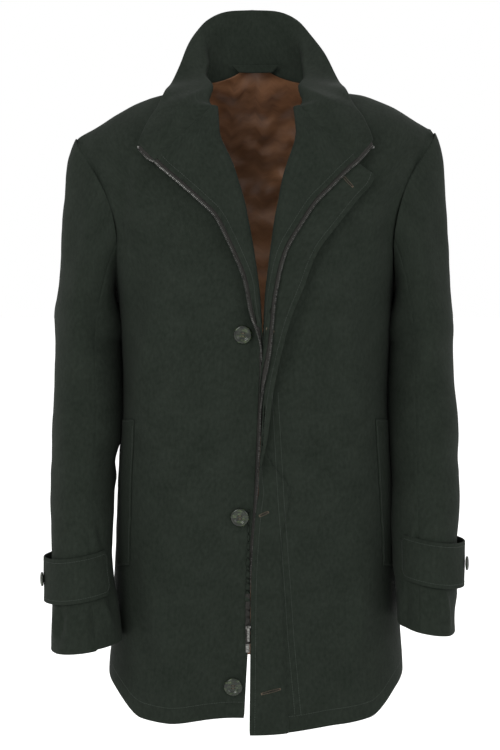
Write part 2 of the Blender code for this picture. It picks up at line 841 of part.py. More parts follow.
def build_neck_tab(material):
    """The small tab of shell cloth at the back of the neck, over the lining."""

    def surface(u, v):
        half = TAB_HALF_LOW + (TAB_HALF_HIGH - TAB_HALF_LOW) * v
        x = (2 * u - 1) * half
        y = NECK_BACK_DEPTH * math.sqrt(1 - (x / NECK_HALF_WIDTH) ** 2) - 5.5 - 3.0 * (1 - v)
        return Vector((x, y, TAB_LOW_Z + TAB_HEIGHT * v))

    cloth_wall("neck_tab", stations(6), stations(2), surface, material, TAB_WALL, flip=True)


# ---------------------------------------------------------------- buttons

BUTTON_RADIUS = 11.5
CUFF_BUTTON_RADIUS = 9.5
# Half outline of a button, as shares of its radius and in millimetres of height
BUTTON_PROFILE = ((0.0, 2.6), (0.55, 2.6), (0.68, 3.6), (0.86, 3.6), (1.0, 2.2), (0.92, 0.6), (0.6, 0.0),
                  (0.0, 0.0))
BUTTON_STEPS = 20


def build_button(name, radius, seat, normal, material):
    """A turned button whose under face sits at seat, facing along normal."""
    mesh = bpy.data.meshes.new(name)
    points = [(share * radius * MM, 0.0, height * MM) for share, height in BUTTON_PROFILE]
    mesh.from_pydata(points, [(i, i + 1) for i in range(len(points) - 1)], [])
    obj = add_object(name, mesh, material)
    screw = obj.modifiers.new("turn", "SCREW")
    screw.steps = BUTTON_STEPS
    screw.render_steps = BUTTON_STEPS
    screw.use_merge_vertices = True
    screw.merge_threshold = 0.00001
    obj.rotation_euler = normal.to_track_quat("Z", "Y").to_euler()
    obj.location = seat * MM


# Front buttons that show, on the wearer's right: x and height
FRONT_BUTTONS = (("front_button_2", -16.0, -311.0), ("front_button_3", -20.0, -540.0),
                 ("front_button_4", -28.5, -757.0))
BUTTON_LIFT = 1.2
# Distance of the hidden top button from the turned zip edge
BUTTON_INBOARD = 24.0


def build_front_buttons(material):
    """Three buttons on the right front and the top one under its turned lapel."""
    for name, x, z in FRONT_BUTTONS:
        step = 4.0
        here = Vector((x, form_y(x, z, True), z))
        across = Vector((x + step, form_y(x + step, z, True), z)) - here
        up = Vector((x, form_y(x, z + step, True), z + step)) - here
        normal = across.cross(up).normalized()
        build_button(name, BUTTON_RADIUS, here + normal * BUTTON_LIFT, normal, material)
    past = edge_distance(RIGHT, TIP_ROW) - BUTTON_INBOARD
    here = cloth_point(RIGHT, past, TIP_ROW)
    across = cloth_point(RIGHT, past + 3.0, TIP_ROW) - cloth_point(RIGHT, past - 3.0, TIP_ROW)
    up = cloth_point(RIGHT, past, TIP_ROW + 0.01) - cloth_point(RIGHT, past, TIP_ROW - 0.01)
    normal = across.cross(up).normalized()
    build_button("front_button_1", BUTTON_RADIUS, here + normal * BUTTON_LIFT, normal, material)


def build_cuff_button(side, material):
    """The button on a cuff strap, on the outer side of the sleeve."""
    surface = strap_surface(side)
    u = (10.0 - STRAP_START) / (STRAP_END - STRAP_START)
    here = surface(u, 0.5)
    normal = surface_normal(surface, u, 0.5, side == RIGHT)
    build_button("cuff_button_" + SIDE_NAMES[side], CUFF_BUTTON_RADIUS,
                 here + normal * (STRAP_WALL + 0.9), normal, material)


# ---------------------------------------------------------------- zip

TAPE_WIDTH = 4.8
TAPE_START = 1.4
TAPE_WALL = 1.2
TAPE_LOW_ROW = 0.1057
# How far up the collar's short end the tape runs
TAPE_TOP = 0.92
TAPE_SPLIT = 0.8
SLIDER_Z = -680.0
SLIDER_SIZE = (6.4, 5.0, 11.0)
SLIDER_SLOT = (5.2, 2.2)
PIN_RADIUS = 0.8
PIN_FORWARD = 2.7
PULL_LENGTH = 19.0
PULL_SIZE = (3.4, 1.4)
PULL_EYE = 2.0
PULL_HOLE = 1.2
CHEEK = (0.9, 2.6)
BOX_SIZE = (5.0, 4.0, 11.0)
STOP_SIZE = (3.0, 3.0, 3.0)
STOP_BEYOND = 2.6


def tape_surface(side):
    """A zip tape: u across it from the cloth's edge, v from its low end to the collar's tip."""
    distances = {}

    def surface(u, v):
        beyond = TAPE_START + (TAPE_WIDTH - TAPE_START) * u
        if v <= TAPE_SPLIT:
            row = TAPE_LOW_ROW + (1.0 - TAPE_LOW_ROW) * v / TAPE_SPLIT
            if row not in distances:
                distances[row] = edge_distance(side, row)
            return cloth_point(side, distances[row] + beyond, row)
        rise = (v - TAPE_SPLIT) / (1 - TAPE_SPLIT)
        end = 0.5 + 0.5 * side
        inward = 0.5 + 0.49 * side
        tip = collar_surface(end, rise)
        away = (tip - collar_surface(inward, rise)).normalized()
        start = cloth_point(side, edge_distance(side, 1.0) + beyond, 1.0)
        return start.lerp(tip + away * (beyond + 1.6), smooth_step(0.0, 0.3, rise))

    return surface


def build_tape(side, material):
    """The zip tape along the turned front edge and the collar's short end."""
    rows = [(v - TAPE_LOW_ROW) / (1 - TAPE_LOW_ROW) * TAPE_SPLIT for v in FRONT_ROWS
            if v > TAPE_LOW_ROW + 0.01]
    rows = [0.0, *rows] + [TAPE_SPLIT + (1 - TAPE_SPLIT) * part for part in (0.3, 0.6, TAPE_TOP)]
    cloth_wall("zip_tape_" + SIDE_NAMES[side], stations(2), rows, tape_surface(side), material,
               TAPE_WALL, lift=-0.5, flip=side == LEFT)


def build_block(name, size, centre, material, bevel):
    """A bevelled block at a place."""
    mesh = bmesh.new()
    bmesh.ops.create_cube(mesh, size=1.0)
    bmesh.ops.scale(mesh, vec=Vector(size) * MM, verts=mesh.verts)
    data = bpy.data.meshes.new(name)
    mesh.to_mesh(data)
    mesh.free()
    obj = add_object(name, data, material)
    obj.location = centre * MM
    modifier = obj.modifiers.new("edges", "BEVEL")
    modifier.width = bevel * MM
    modifier.segments = 2
    return obj


def build_cylinder(name, radius, length, centre):
    """A cylinder along X, as a tool or a pin."""
    mesh = bmesh.new()
    bmesh.ops.create_cone(mesh, cap_ends=True, segments=16, radius1=radius * MM, radius2=radius * MM,
                          depth=length * MM)
    data = bpy.data.meshes.new(name)
    mesh.to_mesh(data)
    mesh.free()
    obj = bpy.data.objects.new(name, data)
    bpy.data.collections["cutters"].objects.link(obj)
    obj.rotation_euler = (0, math.pi / 2, 0)
    obj.location = centre * MM
    hide_tool(obj)
    return obj


def build_tool(name, size, centre):
    """A plain block used to cut or to join."""
    mesh = bmesh.new()
    bmesh.ops.create_cube(mesh, size=1.0)
    bmesh.ops.scale(mesh, vec=Vector(size) * MM, verts=mesh.verts)
    data = bpy.data.meshes.new(name)
    mesh.to_mesh(data)
    mesh.free()
    obj = bpy.data.objects.new(name, data)
    bpy.data.collections["cutters"].objects.link(obj)
    obj.location = centre * MM
    hide_tool(obj)
    return obj


def hide_tool(obj):
    """Leaves a tool out of the model."""
    obj.hide_render = True
    obj.display_type = "WIRE"


def boolean(obj, tool, operation):
    """Cuts a tool from an object or joins it on."""
    modifier = obj.modifiers.new(operation.lower(), "BOOLEAN")
    modifier.operation = operation
    modifier.object = tool


def slider_centre():
    """The middle of the zip slider, on the right tape."""
    row = row_of(SLIDER_Z)
    edge = cloth_point(RIGHT, edge_distance(RIGHT, row), row)
    return Vector((edge.x + 0.5 + SLIDER_SIZE[0] / 2, edge.y + (TAPE_WALL + 0.6) / 2, SLIDER_Z))


def build_slider(material):
    """The slider with the slot that the tape runs in and the pin that the pull hangs on."""
    centre = slider_centre()
    slider = build_block("zip_slider", SLIDER_SIZE, centre, material, 0.8)
    slot_width, slot_depth = SLIDER_SLOT
    slot_centre = centre + Vector(((slot_width - SLIDER_SIZE[0]) / 2 - 1.0, 0, 0))
    boolean(slider, build_tool("slot", (slot_width + 2.0, slot_depth, 30.0), slot_centre), "DIFFERENCE")
    pin_centre = pull_axis()
    cheek_x = (SLIDER_SIZE[0] - CHEEK[0]) / 2 - 0.1
    for name, offset in (("cheek_low", -cheek_x), ("cheek_high", cheek_x)):
        size = (CHEEK[0], PIN_FORWARD + 2.4, CHEEK[1])
        place = pin_centre + Vector((offset, size[1] / 2 - 1.4, 0))
        boolean(slider, build_tool(name, size, place), "UNION")
    boolean(slider, build_cylinder("pin", PIN_RADIUS, 2 * cheek_x, pin_centre), "UNION")


def pull_axis():
    """The middle of the pull's hinge pin."""
    return slider_centre() + Vector((0, -SLIDER_SIZE[1] / 2 - PIN_FORWARD, 1.0))


def build_pull(material):
    """The pull tab, hanging from the pin, with its origin on the hinge."""
    axis = pull_axis()
    pull = build_block("zip_pull", (PULL_SIZE[0], PULL_SIZE[1], PULL_LENGTH), Vector((0, 0, 0)), material, 0.4)
    for vert in pull.data.vertices:
        vert.co.z -= PULL_LENGTH / 2 * MM
    pull.location = axis * MM
    boolean(pull, build_cylinder("pull_eye", PULL_EYE, PULL_SIZE[0], axis), "UNION")
    boolean(pull, build_cylinder("pull_hole", PULL_HOLE, 12.0, axis), "DIFFERENCE")


def build_zip_ends(material):
    """The box at the low end of the right tape and the stops at the collar's tips."""
    low = tape_surface(RIGHT)(0.5, 0.0)
    build_block("zip_box", BOX_SIZE, low + Vector((0.6, 0.9, -BOX_SIZE[2] / 2 - 0.4)), material, 0.6)
    for side in (RIGHT, LEFT):
        surface = tape_surface(side)
        rows_end = TAPE_SPLIT + (1 - TAPE_SPLIT) * TAPE_TOP
        tip, before = surface(0.5, rows_end), surface(0.5, rows_end - 0.02)
        along = (tip - before).normalized()
        build_block("zip_stop_" + SIDE_NAMES[side], STOP_SIZE, tip + along * STOP_BEYOND, material, 0.5)


def reset_scene():
    """Clears the scene and makes the coat's collection and the one for tools."""
    for obj in list(bpy.data.objects):
        bpy.data.objects.remove(obj, do_unlink=True)
    for name in ("car_coat", "cutters"):
        bpy.context.scene.collection.children.link(bpy.data.collections.new(name))


def main():
    """Builds the coat piece by piece."""
    reset_scene()
    shell = make_material("shell_cloth", (0.022, 0.031, 0.024), 0.85)
    satin = make_material("satin", (0.06, 0.032, 0.018), 0.4)
    horn = make_material("button", (0.05, 0.07, 0.03), 0.2)
    ribbon = make_material("zip_ribbon", (0.03, 0.028, 0.022), 0.8)
    metal = make_material("zip_metal", (0.35, 0.35, 0.34), 0.3, metallic=1.0)
    build_back(shell)
    build_lining(satin)
    build_collar(shell)
    build_neck_tab(shell)
    for side in (RIGHT, LEFT):
        build_front(side, shell)
        build_facing(side, shell)
        build_sleeve(side, shell)
        build_strap(side, shell)
        build_cuff_button(side, horn)
        build_welt(side, shell)
        build_tape(side, ribbon)
    build_fly(shell)
    build_front_buttons(horn)
    build_slider(metal)
    build_pull(metal)
    build_zip_ends(metal)


main()
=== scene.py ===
"""The looks of a men's car coat, filled out with no wearer and worn open.

Lengths in the classes are millimetres in the coat's own frame: +Z up, the coat faces -Y and the
wearer's left is +X. Meshes are in metres.
"""

import logging
from dataclasses import dataclass, field
from enum import Enum
from functools import lru_cache, partial
from math import acos, asin, copysign, cos, degrees, exp, floor, hypot, pi, radians, sin, sqrt
from typing import Callable, Sequence, TypeVar

import bmesh
import bpy
import numpy as np
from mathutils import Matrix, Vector
from mathutils.bvhtree import BVHTree
from numpy.linalg import norm

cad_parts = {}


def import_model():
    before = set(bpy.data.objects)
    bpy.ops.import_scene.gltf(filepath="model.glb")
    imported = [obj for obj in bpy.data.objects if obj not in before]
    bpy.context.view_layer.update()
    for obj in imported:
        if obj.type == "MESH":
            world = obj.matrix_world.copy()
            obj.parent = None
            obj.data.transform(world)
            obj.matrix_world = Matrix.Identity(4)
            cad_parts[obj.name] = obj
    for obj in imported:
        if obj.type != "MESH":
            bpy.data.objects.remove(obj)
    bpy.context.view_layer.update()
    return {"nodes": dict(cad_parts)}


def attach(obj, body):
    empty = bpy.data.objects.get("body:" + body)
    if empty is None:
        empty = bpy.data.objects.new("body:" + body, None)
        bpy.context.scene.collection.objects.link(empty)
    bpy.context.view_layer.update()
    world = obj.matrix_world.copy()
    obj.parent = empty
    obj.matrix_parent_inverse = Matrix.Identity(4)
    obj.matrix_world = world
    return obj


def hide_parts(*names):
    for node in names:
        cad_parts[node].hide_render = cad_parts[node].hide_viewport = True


MM = 0.001
COAT_BODY = "coat"
LOG = logging.getLogger("car_coat")

Array = np.ndarray
Piece = bpy.types.Object
Material = bpy.types.Material
Surface = Callable[[float, float], Vector]
Pair = tuple[float, float]
Path2 = Sequence[Pair]
Triple = tuple[float, float, float]
Amount = TypeVar("Amount", float, Vector)


class Side(Enum):
    """The wearer's side, with its sign along X."""

    RIGHT = -1
    LEFT = 1

    @property
    def word(self) -> str:
        """The side's word in the names of pieces."""
        return self.name.lower()


class Held(Enum):
    HUNG = "hung"
    LAID = "laid"
    FOLDED = "folded"


# ---------------------------------------------------------------- curves and tables

def hermite(start: Amount, end: Amount, slope_in: Amount, slope_out: Amount, part: float) -> Amount:
    """A cubic between two numbers or vectors.

    Args:
        start, end: values at 0 and 1.
        slope_in, slope_out: slopes there.
        part: place from 0 to 1.

    Returns:
        The value at the place.
    """
    square, cube = part * part, part ** 3
    return (start * (2 * cube - 3 * square + 1) + slope_in * (cube - 2 * square + part)
            + end * (3 * square - 2 * cube) + slope_out * (cube - square))


def interpolate(rows: Sequence[Sequence[float]], key: float) -> Sequence[float]:
    """Reads a table on a smooth curve.

    Args:
        rows: rows in the order of their first column.
        key: value of the first column.

    Returns:
        The other columns at the key.
    """
    if key <= rows[0][0]:
        return rows[0][1:]
    if key >= rows[-1][0]:
        return rows[-1][1:]
    index = max(i for i in range(len(rows) - 1) if rows[i][0] <= key)
    before, after = rows[max(index - 1, 0)], rows[min(index + 2, len(rows) - 1)]
    start, end = rows[index], rows[index + 1]
    span = end[0] - start[0]
    part = (key - start[0]) / span
    result = []
    for column in range(1, len(start)):
        slope_in = (end[column] - before[column]) / (end[0] - before[0]) * span
        slope_out = (after[column] - start[column]) / (after[0] - start[0]) * span
        result.append(hermite(start[column], end[column], slope_in, slope_out, part))
    return result


def smooth_step(low: float, high: float, value: float) -> float:
    """0 below low, 1 above high, and a soft change between."""
    part = min(max((value - low) / (high - low), 0.0), 1.0)
    return part * part * (3 - 2 * part)


def smooth_steps(low: float, high: float, values: Array) -> Array:
    """The same soft change for an array of values."""
    part = np.clip((values - low) / (high - low), 0.0, 1.0)
    return part * part * (3 - 2 * part)


def normal_of(surface: Surface, u: float, v: float, step_u: float, step_v: float) -> Vector:
    """The unit normal of a surface, from steps to both sides."""
    across = surface(u + step_u, v) - surface(u - step_u, v)
    up = surface(u, v + step_v) - surface(u, v - step_v)
    return across.cross(up).normalized()


def unit(vectors: Array) -> Array:
    """Vectors at unit length."""
    return vectors / np.maximum(norm(vectors, axis=-1, keepdims=True), 1e-9)


def stations(count: int) -> list[float]:
    """Evenly spaced values from 0 to 1."""
    return [index / count for index in range(count + 1)]


# ---------------------------------------------------------------- the coat's form

@dataclass(frozen=True, eq=False)
class CoatForm:
    """The smooth form of the panels, the solids' own until SETTLING moves it a little."""

    shell_wall: float = 1.8
    layer_gap: float = 0.7
    shoulder_tip_z: float = -66.0
    armpit_z: float = -262.0
    roll_top: Pair = (55.0, -74.0)
    neck_half_width: float = 79.0
    neck_back_depth: float = 66.0
    roll_radius: float = 4.5
    leaf_lift: float = 11.0
    tip_row: float = 0.80
    neck_share: float = 0.36
    hem_row_z: float = -800.0
    hem_side_z: float = -779.0
    hem_dip: float = 30.0
    # Heights of the right and the left front corner
    hem_corners: Pair = (-797.0, -819.0)
    shoulder_tip_x: float = 234.0
    leaf_settle: float = 12.0
    gorge_fall: float = 68.0
    gorge_run: float = 70.0
    armhole_front: float = 32.0
    armhole_back: float = 30.0
    # Height, half width, depth in front, depth behind, roundness
    sections: tuple = (
        (-840, 198, 139, 122, 2.5), (-780, 195, 139, 122, 2.5), (-720, 191, 140, 122, 2.5),
        (-620, 187, 142, 121, 2.5), (-514, 182, 144, 118, 2.5), (-420, 176, 146, 114, 2.5),
        (-333, 177, 148, 118, 2.45), (-262, 182, 147, 124, 2.4), (-208, 196, 141, 128, 2.35),
        (-150, 214, 131, 130, 2.3), (-110, 226, 121, 128, 2.2), (-66, 234, 105, 118, 2.1),
        (-48, 207, 94, 110, 2.0), (-30, 178, 79, 101, 2.0), (-12, 140, 58, 92, 2.0),
        (-3, 108, 44, 86, 2.0), (12, 79, 30, 79, 2.0), (26, 54, 18, 73, 2.0),
        (40, 34, 10, 66, 2.0), (54, 18, 4, 50, 2.0))
    # Height, the roll's innermost x, fold in degrees, zip edge and fly edge past the roll
    right_edge: tuple = (
        (-840, -17.5, 0, 10, 10), (-795, -16.5, 0, 10, 10), (-705, -11.8, 0, 10, 10),
        (-620, -7, 0, 10, 10), (-534, -3.5, 0, 10, 10), (-440, 0.5, 0, 10, 10),
        (-380, 3, 15, 10, 10), (-333, 5, 80, 11, 11), (-290, 3.5, 150, 15, 15),
        (-250, 0.5, 180, 19, 19), (-231, -2, 180, 22, 22), (-188, -9, 180, 34, 34),
        (-162, -14, 180, 43, 43), (-143, -18, 180, 58, 58), (-120, -25, 180, 77, 77),
        (-99, -32, 180, 94, 94), (-70, -46, 180, 104, 104), (-37, -63, 180, 104, 104))
    left_edge: tuple = (
        (-840, -3, 0, -26, 0), (-821, -3, 0, -25, 0), (-719, -2, 0, -19, 0),
        (-620, -1, 0, -14, 0), (-560, 0, 10, -12, 0), (-518, 1, 60, -10, 8),
        (-470, 3, 120, -5, 16), (-424, 6, 165, 0, 19), (-380, 8, 180, 6, 23),
        (-333, 11, 180, 12, 30), (-290, 13, 180, 14, 40), (-256, 15, 180, 16, 52),
        (-207, 21, 180, 22, 66), (-170, 26, 180, 38, 90), (-145, 31, 180, 50, 107),
        (-128, 34, 180, 64, 121), (-108, 39, 180, 80, 122), (-82, 48, 180, 100, 122),
        (-37, 64, 180, 104, 122))

    @property
    def roll_arc(self) -> float:
        """Length of cloth that goes round the roll."""
        return pi * self.roll_radius

    @property
    def roll_angle(self) -> float:
        """Where the neck seam ends at the roll, in degrees round the neck."""
        return -degrees(acos(self.roll_top[0] / self.neck_half_width))

    @lru_cache(maxsize=None)
    def section(self, z: float) -> Sequence[float]:
        """Half width, depth in front, depth behind and roundness at a height."""
        return interpolate(self.sections, z)

    def form_y(self, x: float, z: float, front: bool) -> float:
        """Depth of the body's outer surface at a width and a height."""
        width, front_depth, back_depth, roundness = self.section(z)
        inside = max(1.0 - (abs(x) / width) ** roundness, 0.0)
        reach = inside ** (1.0 / roundness)
        return -front_depth * reach if front else back_depth * reach

    def form_top_z(self, x: float, y: float) -> float:
        """Height of the shoulder's surface over a point of the plan."""
        low, high = self.shoulder_tip_z, self.sections[-1][0]
        for _ in range(26):
            middle = (low + high) / 2
            width, front_depth, back_depth, roundness = interpolate(self.sections, middle)
            depth = front_depth if y < 0 else back_depth
            if (abs(x) / width) ** roundness + (abs(y) / depth) ** roundness < 1.0:
                low = middle
            else:
                high = middle
        return (low + high) / 2

    def around_point(self, angle: float, z: float) -> Pair:
        """A point of a section by its angle: 0 centre front, 90 side, 180 centre back."""
        width, front_depth, back_depth, roundness = self.section(z)
        power = 2.0 / roundness
        cosine = cos(radians(angle))
        depth = front_depth if cosine > 0 else back_depth
        x = width * abs(sin(radians(angle))) ** power
        return x, -copysign(depth * abs(cosine) ** power, cosine)

    def side_angle(self, z: float, front: bool) -> float:
        """The angle of a panel's outer edge: the side seam, or the armhole above it."""
        part = (z - self.armpit_z) / (self.shoulder_tip_z - self.armpit_z)
        wide = sin(pi * part) ** 0.55 if 0.0 < part < 1.0 else 0.0
        return 90.0 - self.armhole_front * wide if front else 90.0 + self.armhole_back * wide

    def neck_plan(self, angle: float) -> Pair:
        """The neck seam in plan: 0 at the shoulder seam, 90 at the centre back, down to the roll."""
        half, depth = self.neck_half_width, self.neck_back_depth
        if angle < 0:
            depth = -self.roll_top[1] / sqrt(1 - (self.roll_top[0] / half) ** 2)
        return half * cos(radians(angle)), depth * sin(radians(angle))

    @lru_cache(maxsize=None)
    def edge_row(self, side: Side, z: float) -> tuple[float, float, float, float]:
        """The turned edge at a height: roll x, fold angle, zip edge and fly edge past the roll."""
        table = self.right_edge if side is Side.RIGHT else self.left_edge
        roll_x, fold, zip_edge, fly_edge = interpolate(table, z)
        return roll_x * side.value, radians(max(fold, 0.0)), zip_edge, fly_edge

    def roll_reach(self, fold: float, edge: float) -> float:
        """How far the roll stands out beyond the torso's end towards the centre."""
        if fold < 0.02:
            return min(edge, self.roll_arc)
        return min(edge, self.roll_arc / fold * sin(min(fold, pi / 2)))

    def hem_shift(self, side: Side, fraction: float, v: float) -> float:
        """How far a row near the hem moves; fraction is 0 at the side seam and 1 in front."""
        corner = self.hem_corners[0 if side is Side.RIGHT else 1]
        middle = self.hem_side_z - self.hem_dip * sin(pi * min(fraction, 0.75) / 1.5)
        height = middle + (corner - middle) * smooth_step(0.7, 1.0, fraction)
        return (height - self.hem_row_z) * (1 - v / self.tip_row) ** 4

    def row_height(self, v: float) -> float:
        """Height of a row below the shoulder tip, before the hem's own curve."""
        return self.hem_row_z + (self.shoulder_tip_z - self.hem_row_z) * min(v / self.tip_row, 1.0)

    def row_of(self, z: float) -> float:
        """The row at a height below the shoulder tip."""
        return (z - self.hem_row_z) / (self.shoulder_tip_z - self.hem_row_z) * self.tip_row

    def section_angle(self, x: float, z: float) -> float:
        """The angle round a section at a width, in front."""
        ratio = min(abs(x) / self.section(z)[0], 1.0) ** (self.section(z)[3] / 2.0)
        return copysign(degrees(asin(ratio)), x)

    def outward_of(self, side: Side, past: float, v: float) -> float:
        """The torso's share outward of a place that lies a distance (below zero) before the roll."""
        z = self.row_height(v)
        base_x = self.roll_base(side, min(v, self.tip_row)).x
        start, place = self.section_angle(base_x, z), self.section_angle(base_x - past, z)
        return (place - start) / (self.side_angle(z, True) - start)

    @lru_cache(maxsize=None)
    def roll_base(self, side: Side, v: float) -> Vector:
        """Where the torso ends and the roll begins, mirrored to the positive side."""
        z = self.row_height(v)
        roll_x, fold, _, last_edge = self.edge_row(side, z)
        x = roll_x + self.roll_reach(fold, last_edge)
        y = self.form_y(x, z, True)
        if v <= self.tip_row:
            return Vector((x, y, z))
        return self.shoulder_point((x, y), self.roll_top, v)

    def shoulder_point(self, start: Pair, seam: Pair, v: float, behind: int = 0) -> Vector:
        """A point over the shoulder, kept in front (-1) or behind (1) the shoulder seam."""
        part = (v - self.tip_row) / (1 - self.tip_row)
        x, y = (low + (high - low) * part for low, high in zip(start, seam))
        if behind:
            y = behind * max(behind * y, 0.2)
        return Vector((x, y, self.form_top_z(x, y)))

    def top_boundary(self, fraction: float, front: bool) -> Pair:
        """Neck seam then shoulder seam in plan, from the roll or centre back to the tip."""
        if fraction < self.neck_share:
            start = self.roll_angle if front else 90.0
            return self.neck_plan(start * (1 - fraction / self.neck_share))
        part = (fraction - self.neck_share) / (1 - self.neck_share)
        return self.neck_half_width + (self.shoulder_tip_x - self.neck_half_width) * part, 0.0

    def torso_point(self, side: Side, outward: float, v: float, plain: bool = False) -> Vector:
        """The front from the roll (outward 0) to the side seam, armhole or shoulder seam (1)."""
        z = self.row_height(v)
        base = self.roll_base(side, min(v, self.tip_row))
        start = self.section_angle(base.x, z)
        shift = (90.0 - self.side_angle(z, True)) * (outward if plain else outward ** 2.5)
        angle = start + (90.0 - start) * outward - shift
        x, y = self.around_point(angle, z)
        x = -x if angle < 0 else x
        if v <= self.tip_row:
            return Vector((x, y, z + self.hem_shift(side, 1 - outward, v)))
        return self.shoulder_point((x, y), self.top_boundary(outward, True), v, -1)

    def gorge_drop(self, past: float, v: float) -> float:
        """How far the cloth past the roll falls below its row's start."""
        if past <= 0:
            return 0.0
        return self.gorge_fall * (past / self.gorge_run) ** 0.9 * smooth_step(0.25, 1.0, v) ** 1.6

    def turned_point(self, side: Side, past: float, v: float) -> Vector:
        """A point of the cloth past the roll's start: round the roll, then out over the chest."""
        base = self.roll_base(side, v)
        _, fold, _, _ = self.edge_row(side, base.z)
        height = base.z - self.gorge_drop(past - self.roll_arc, v)
        if v <= self.tip_row:
            height += self.hem_shift(side, 1.0, v)
        rise = self.form_y(base.x + 1, base.z, True) - self.form_y(base.x - 1, base.z, True)
        outward = Vector((2.0, rise, 0)).normalized()
        proud = Vector((outward.y, -outward.x, 0))
        turned = min(past, self.roll_arc) / self.roll_arc * fold
        if fold < 0.02:
            point = base - outward * min(past, self.roll_arc)
        else:
            radius = self.roll_arc / fold
            point = base - outward * (radius * sin(turned)) + proud * (radius * (1 - cos(turned)))
        if past > self.roll_arc:
            length = past - self.roll_arc
            point = point + (proud * sin(fold) - outward * cos(fold)) * length
            x = base.x + length
            settled = exp(-length / self.leaf_settle)
            lift = self.leaf_lift + (2 * self.roll_radius - self.leaf_lift) * settled
            laid = Vector((x, self.form_y(x, height, True) - lift, 0))
            point = point.lerp(laid, smooth_step(radians(120), pi, fold))
        point.z = height
        return point

    def cloth_point(self, side: Side, past: float, v: float) -> Vector:
        """A point of a front by its distance past the roll; the torso is reached below zero."""
        if past > 0:
            point = self.turned_point(side, past, v)
        else:
            point = self.torso_point(side, self.outward_of(side, past, v), v, True)
        point.x *= side.value
        return point

    @lru_cache(maxsize=None)
    def edge_distance(self, side: Side, v: float, fly: bool = False) -> float:
        """Distance past the roll, on a row, of the zip edge or of the fly's free edge."""
        base = self.roll_base(side, v)
        low, high = -60.0, 190.0
        for _ in range(26):
            middle = (low + high) / 2
            height = base.z - self.gorge_drop(middle - self.roll_arc, v)
            roll_x, fold, zip_edge, fly_edge = self.edge_row(side, height)
            wanted = roll_x + self.roll_reach(fold, fly_edge) + (fly_edge if fly else zip_edge)
            if base.x + middle > wanted:
                high = middle
            else:
                low = middle
        return (low + high) / 2


# ---------------------------------------------------------------- the photograph's view

@dataclass(frozen=True)
class PhotoView:
    """The camera of the photograph: it turns pixels of its frame into rays and back."""

    focal_px: float = 1742.0
    centre_px: Pair = (250.0, 375.0)
    place: Triple = (-0.00726, -2.30, -0.182)
    pitch: float = radians(4.76)
    frame_height_px: float = 750.0
    sensor_mm: float = 36.0

    def pixels(self, points: Array) -> tuple[Array, Array]:
        """Where points in millimetres fall in the frame.

        Args:
            points: array whose last axis is x, y, z.

        Returns:
            The pixel columns and the pixel rows.
        """
        gap = points * MM - np.array(self.place)
        cosine, sine = cos(self.pitch), sin(self.pitch)
        ahead = gap[..., 1] * cosine - gap[..., 2] * sine
        above = gap[..., 1] * sine + gap[..., 2] * cosine
        return (self.centre_px[0] + self.focal_px * gap[..., 0] / ahead,
                self.centre_px[1] - self.focal_px * above / ahead)

    def ray(self, column: float, row: float) -> tuple[Vector, Vector]:
        """The camera's place and the direction through a pixel."""
        right = (column - self.centre_px[0]) / self.focal_px
        above = (self.centre_px[1] - row) / self.focal_px
        cosine, sine = cos(self.pitch), sin(self.pitch)
        return Vector(self.place), Vector((right, cosine + above * sine, above * cosine - sine)).normalized()

    def make_camera(self) -> None:
        """Adds the camera to the scene."""
        data = bpy.data.cameras.new("photo_camera")
        data.sensor_width = self.sensor_mm
        data.lens = self.focal_px / self.frame_height_px * self.sensor_mm
        camera = add_object("photo_camera", data)
        camera.location = self.place
        camera.rotation_euler = (pi / 2 - self.pitch, 0, 0)
        bpy.context.scene.camera = camera


PHOTO = PhotoView()


# ---------------------------------------------------------------- folds and unevenness

@dataclass(frozen=True)
class Crease:
    """A soft trough with a ridge beside it, along a path of pixels in the photograph."""

    path: tuple[Pair, ...]
    depth: float
    width: float
    ridge: float = 0.5
    lean: float = 1.0
    # What raises every depth; the ridge's place and breadth, in widths of the trough
    gain: float = 1.35
    ridge_place: float = 1.7
    ridge_breadth: float = 1.3

    def amount(self, across: Array, down: Array) -> Array:
        """How far the cloth moves out at places.

        Args:
            across, down: the places, in the crease's own units.

        Returns:
            Millimetres outward; troughs are negative.
        """
        points = np.array(self.path, dtype=float)
        lengths = np.hypot(*(points[1:] - points[:-1]).T)
        total, walked = lengths.sum(), 0.0
        nearest = np.full(across.shape, 1e9)
        signed, along = np.zeros(across.shape), np.zeros(across.shape)
        for start, end, length in zip(points[:-1], points[1:], lengths):
            step = (end - start) / length
            run = np.clip((across - start[0]) * step[0] + (down - start[1]) * step[1], 0, length)
            off_x = across - start[0] - run * step[0]
            off_y = down - start[1] - run * step[1]
            distance = np.hypot(off_x, off_y)
            closer = distance < nearest
            nearest = np.where(closer, distance, nearest)
            signed = np.where(closer, np.copysign(distance, off_x * step[1] - off_y * step[0]), signed)
            along = np.where(closer, (walked + run) / total, along)
            walked += length
        fade = np.sin(np.pi * np.clip(0.04 + 0.92 * along, 0, 1)) ** 0.8
        trough = np.exp(-(signed / self.width) ** 2)
        offset = signed * self.lean - self.ridge_place * self.width
        beside = np.exp(-(offset / (self.ridge_breadth * self.width)) ** 2)
        return self.gain * self.depth * fade * (self.ridge * beside - trough)


def creases(*rows: tuple) -> tuple[Crease, ...]:
    """Creases from rows: three places of the path, then depth, width, ridge and lean."""
    return tuple(Crease(row[:3], *row[3:]) for row in rows)


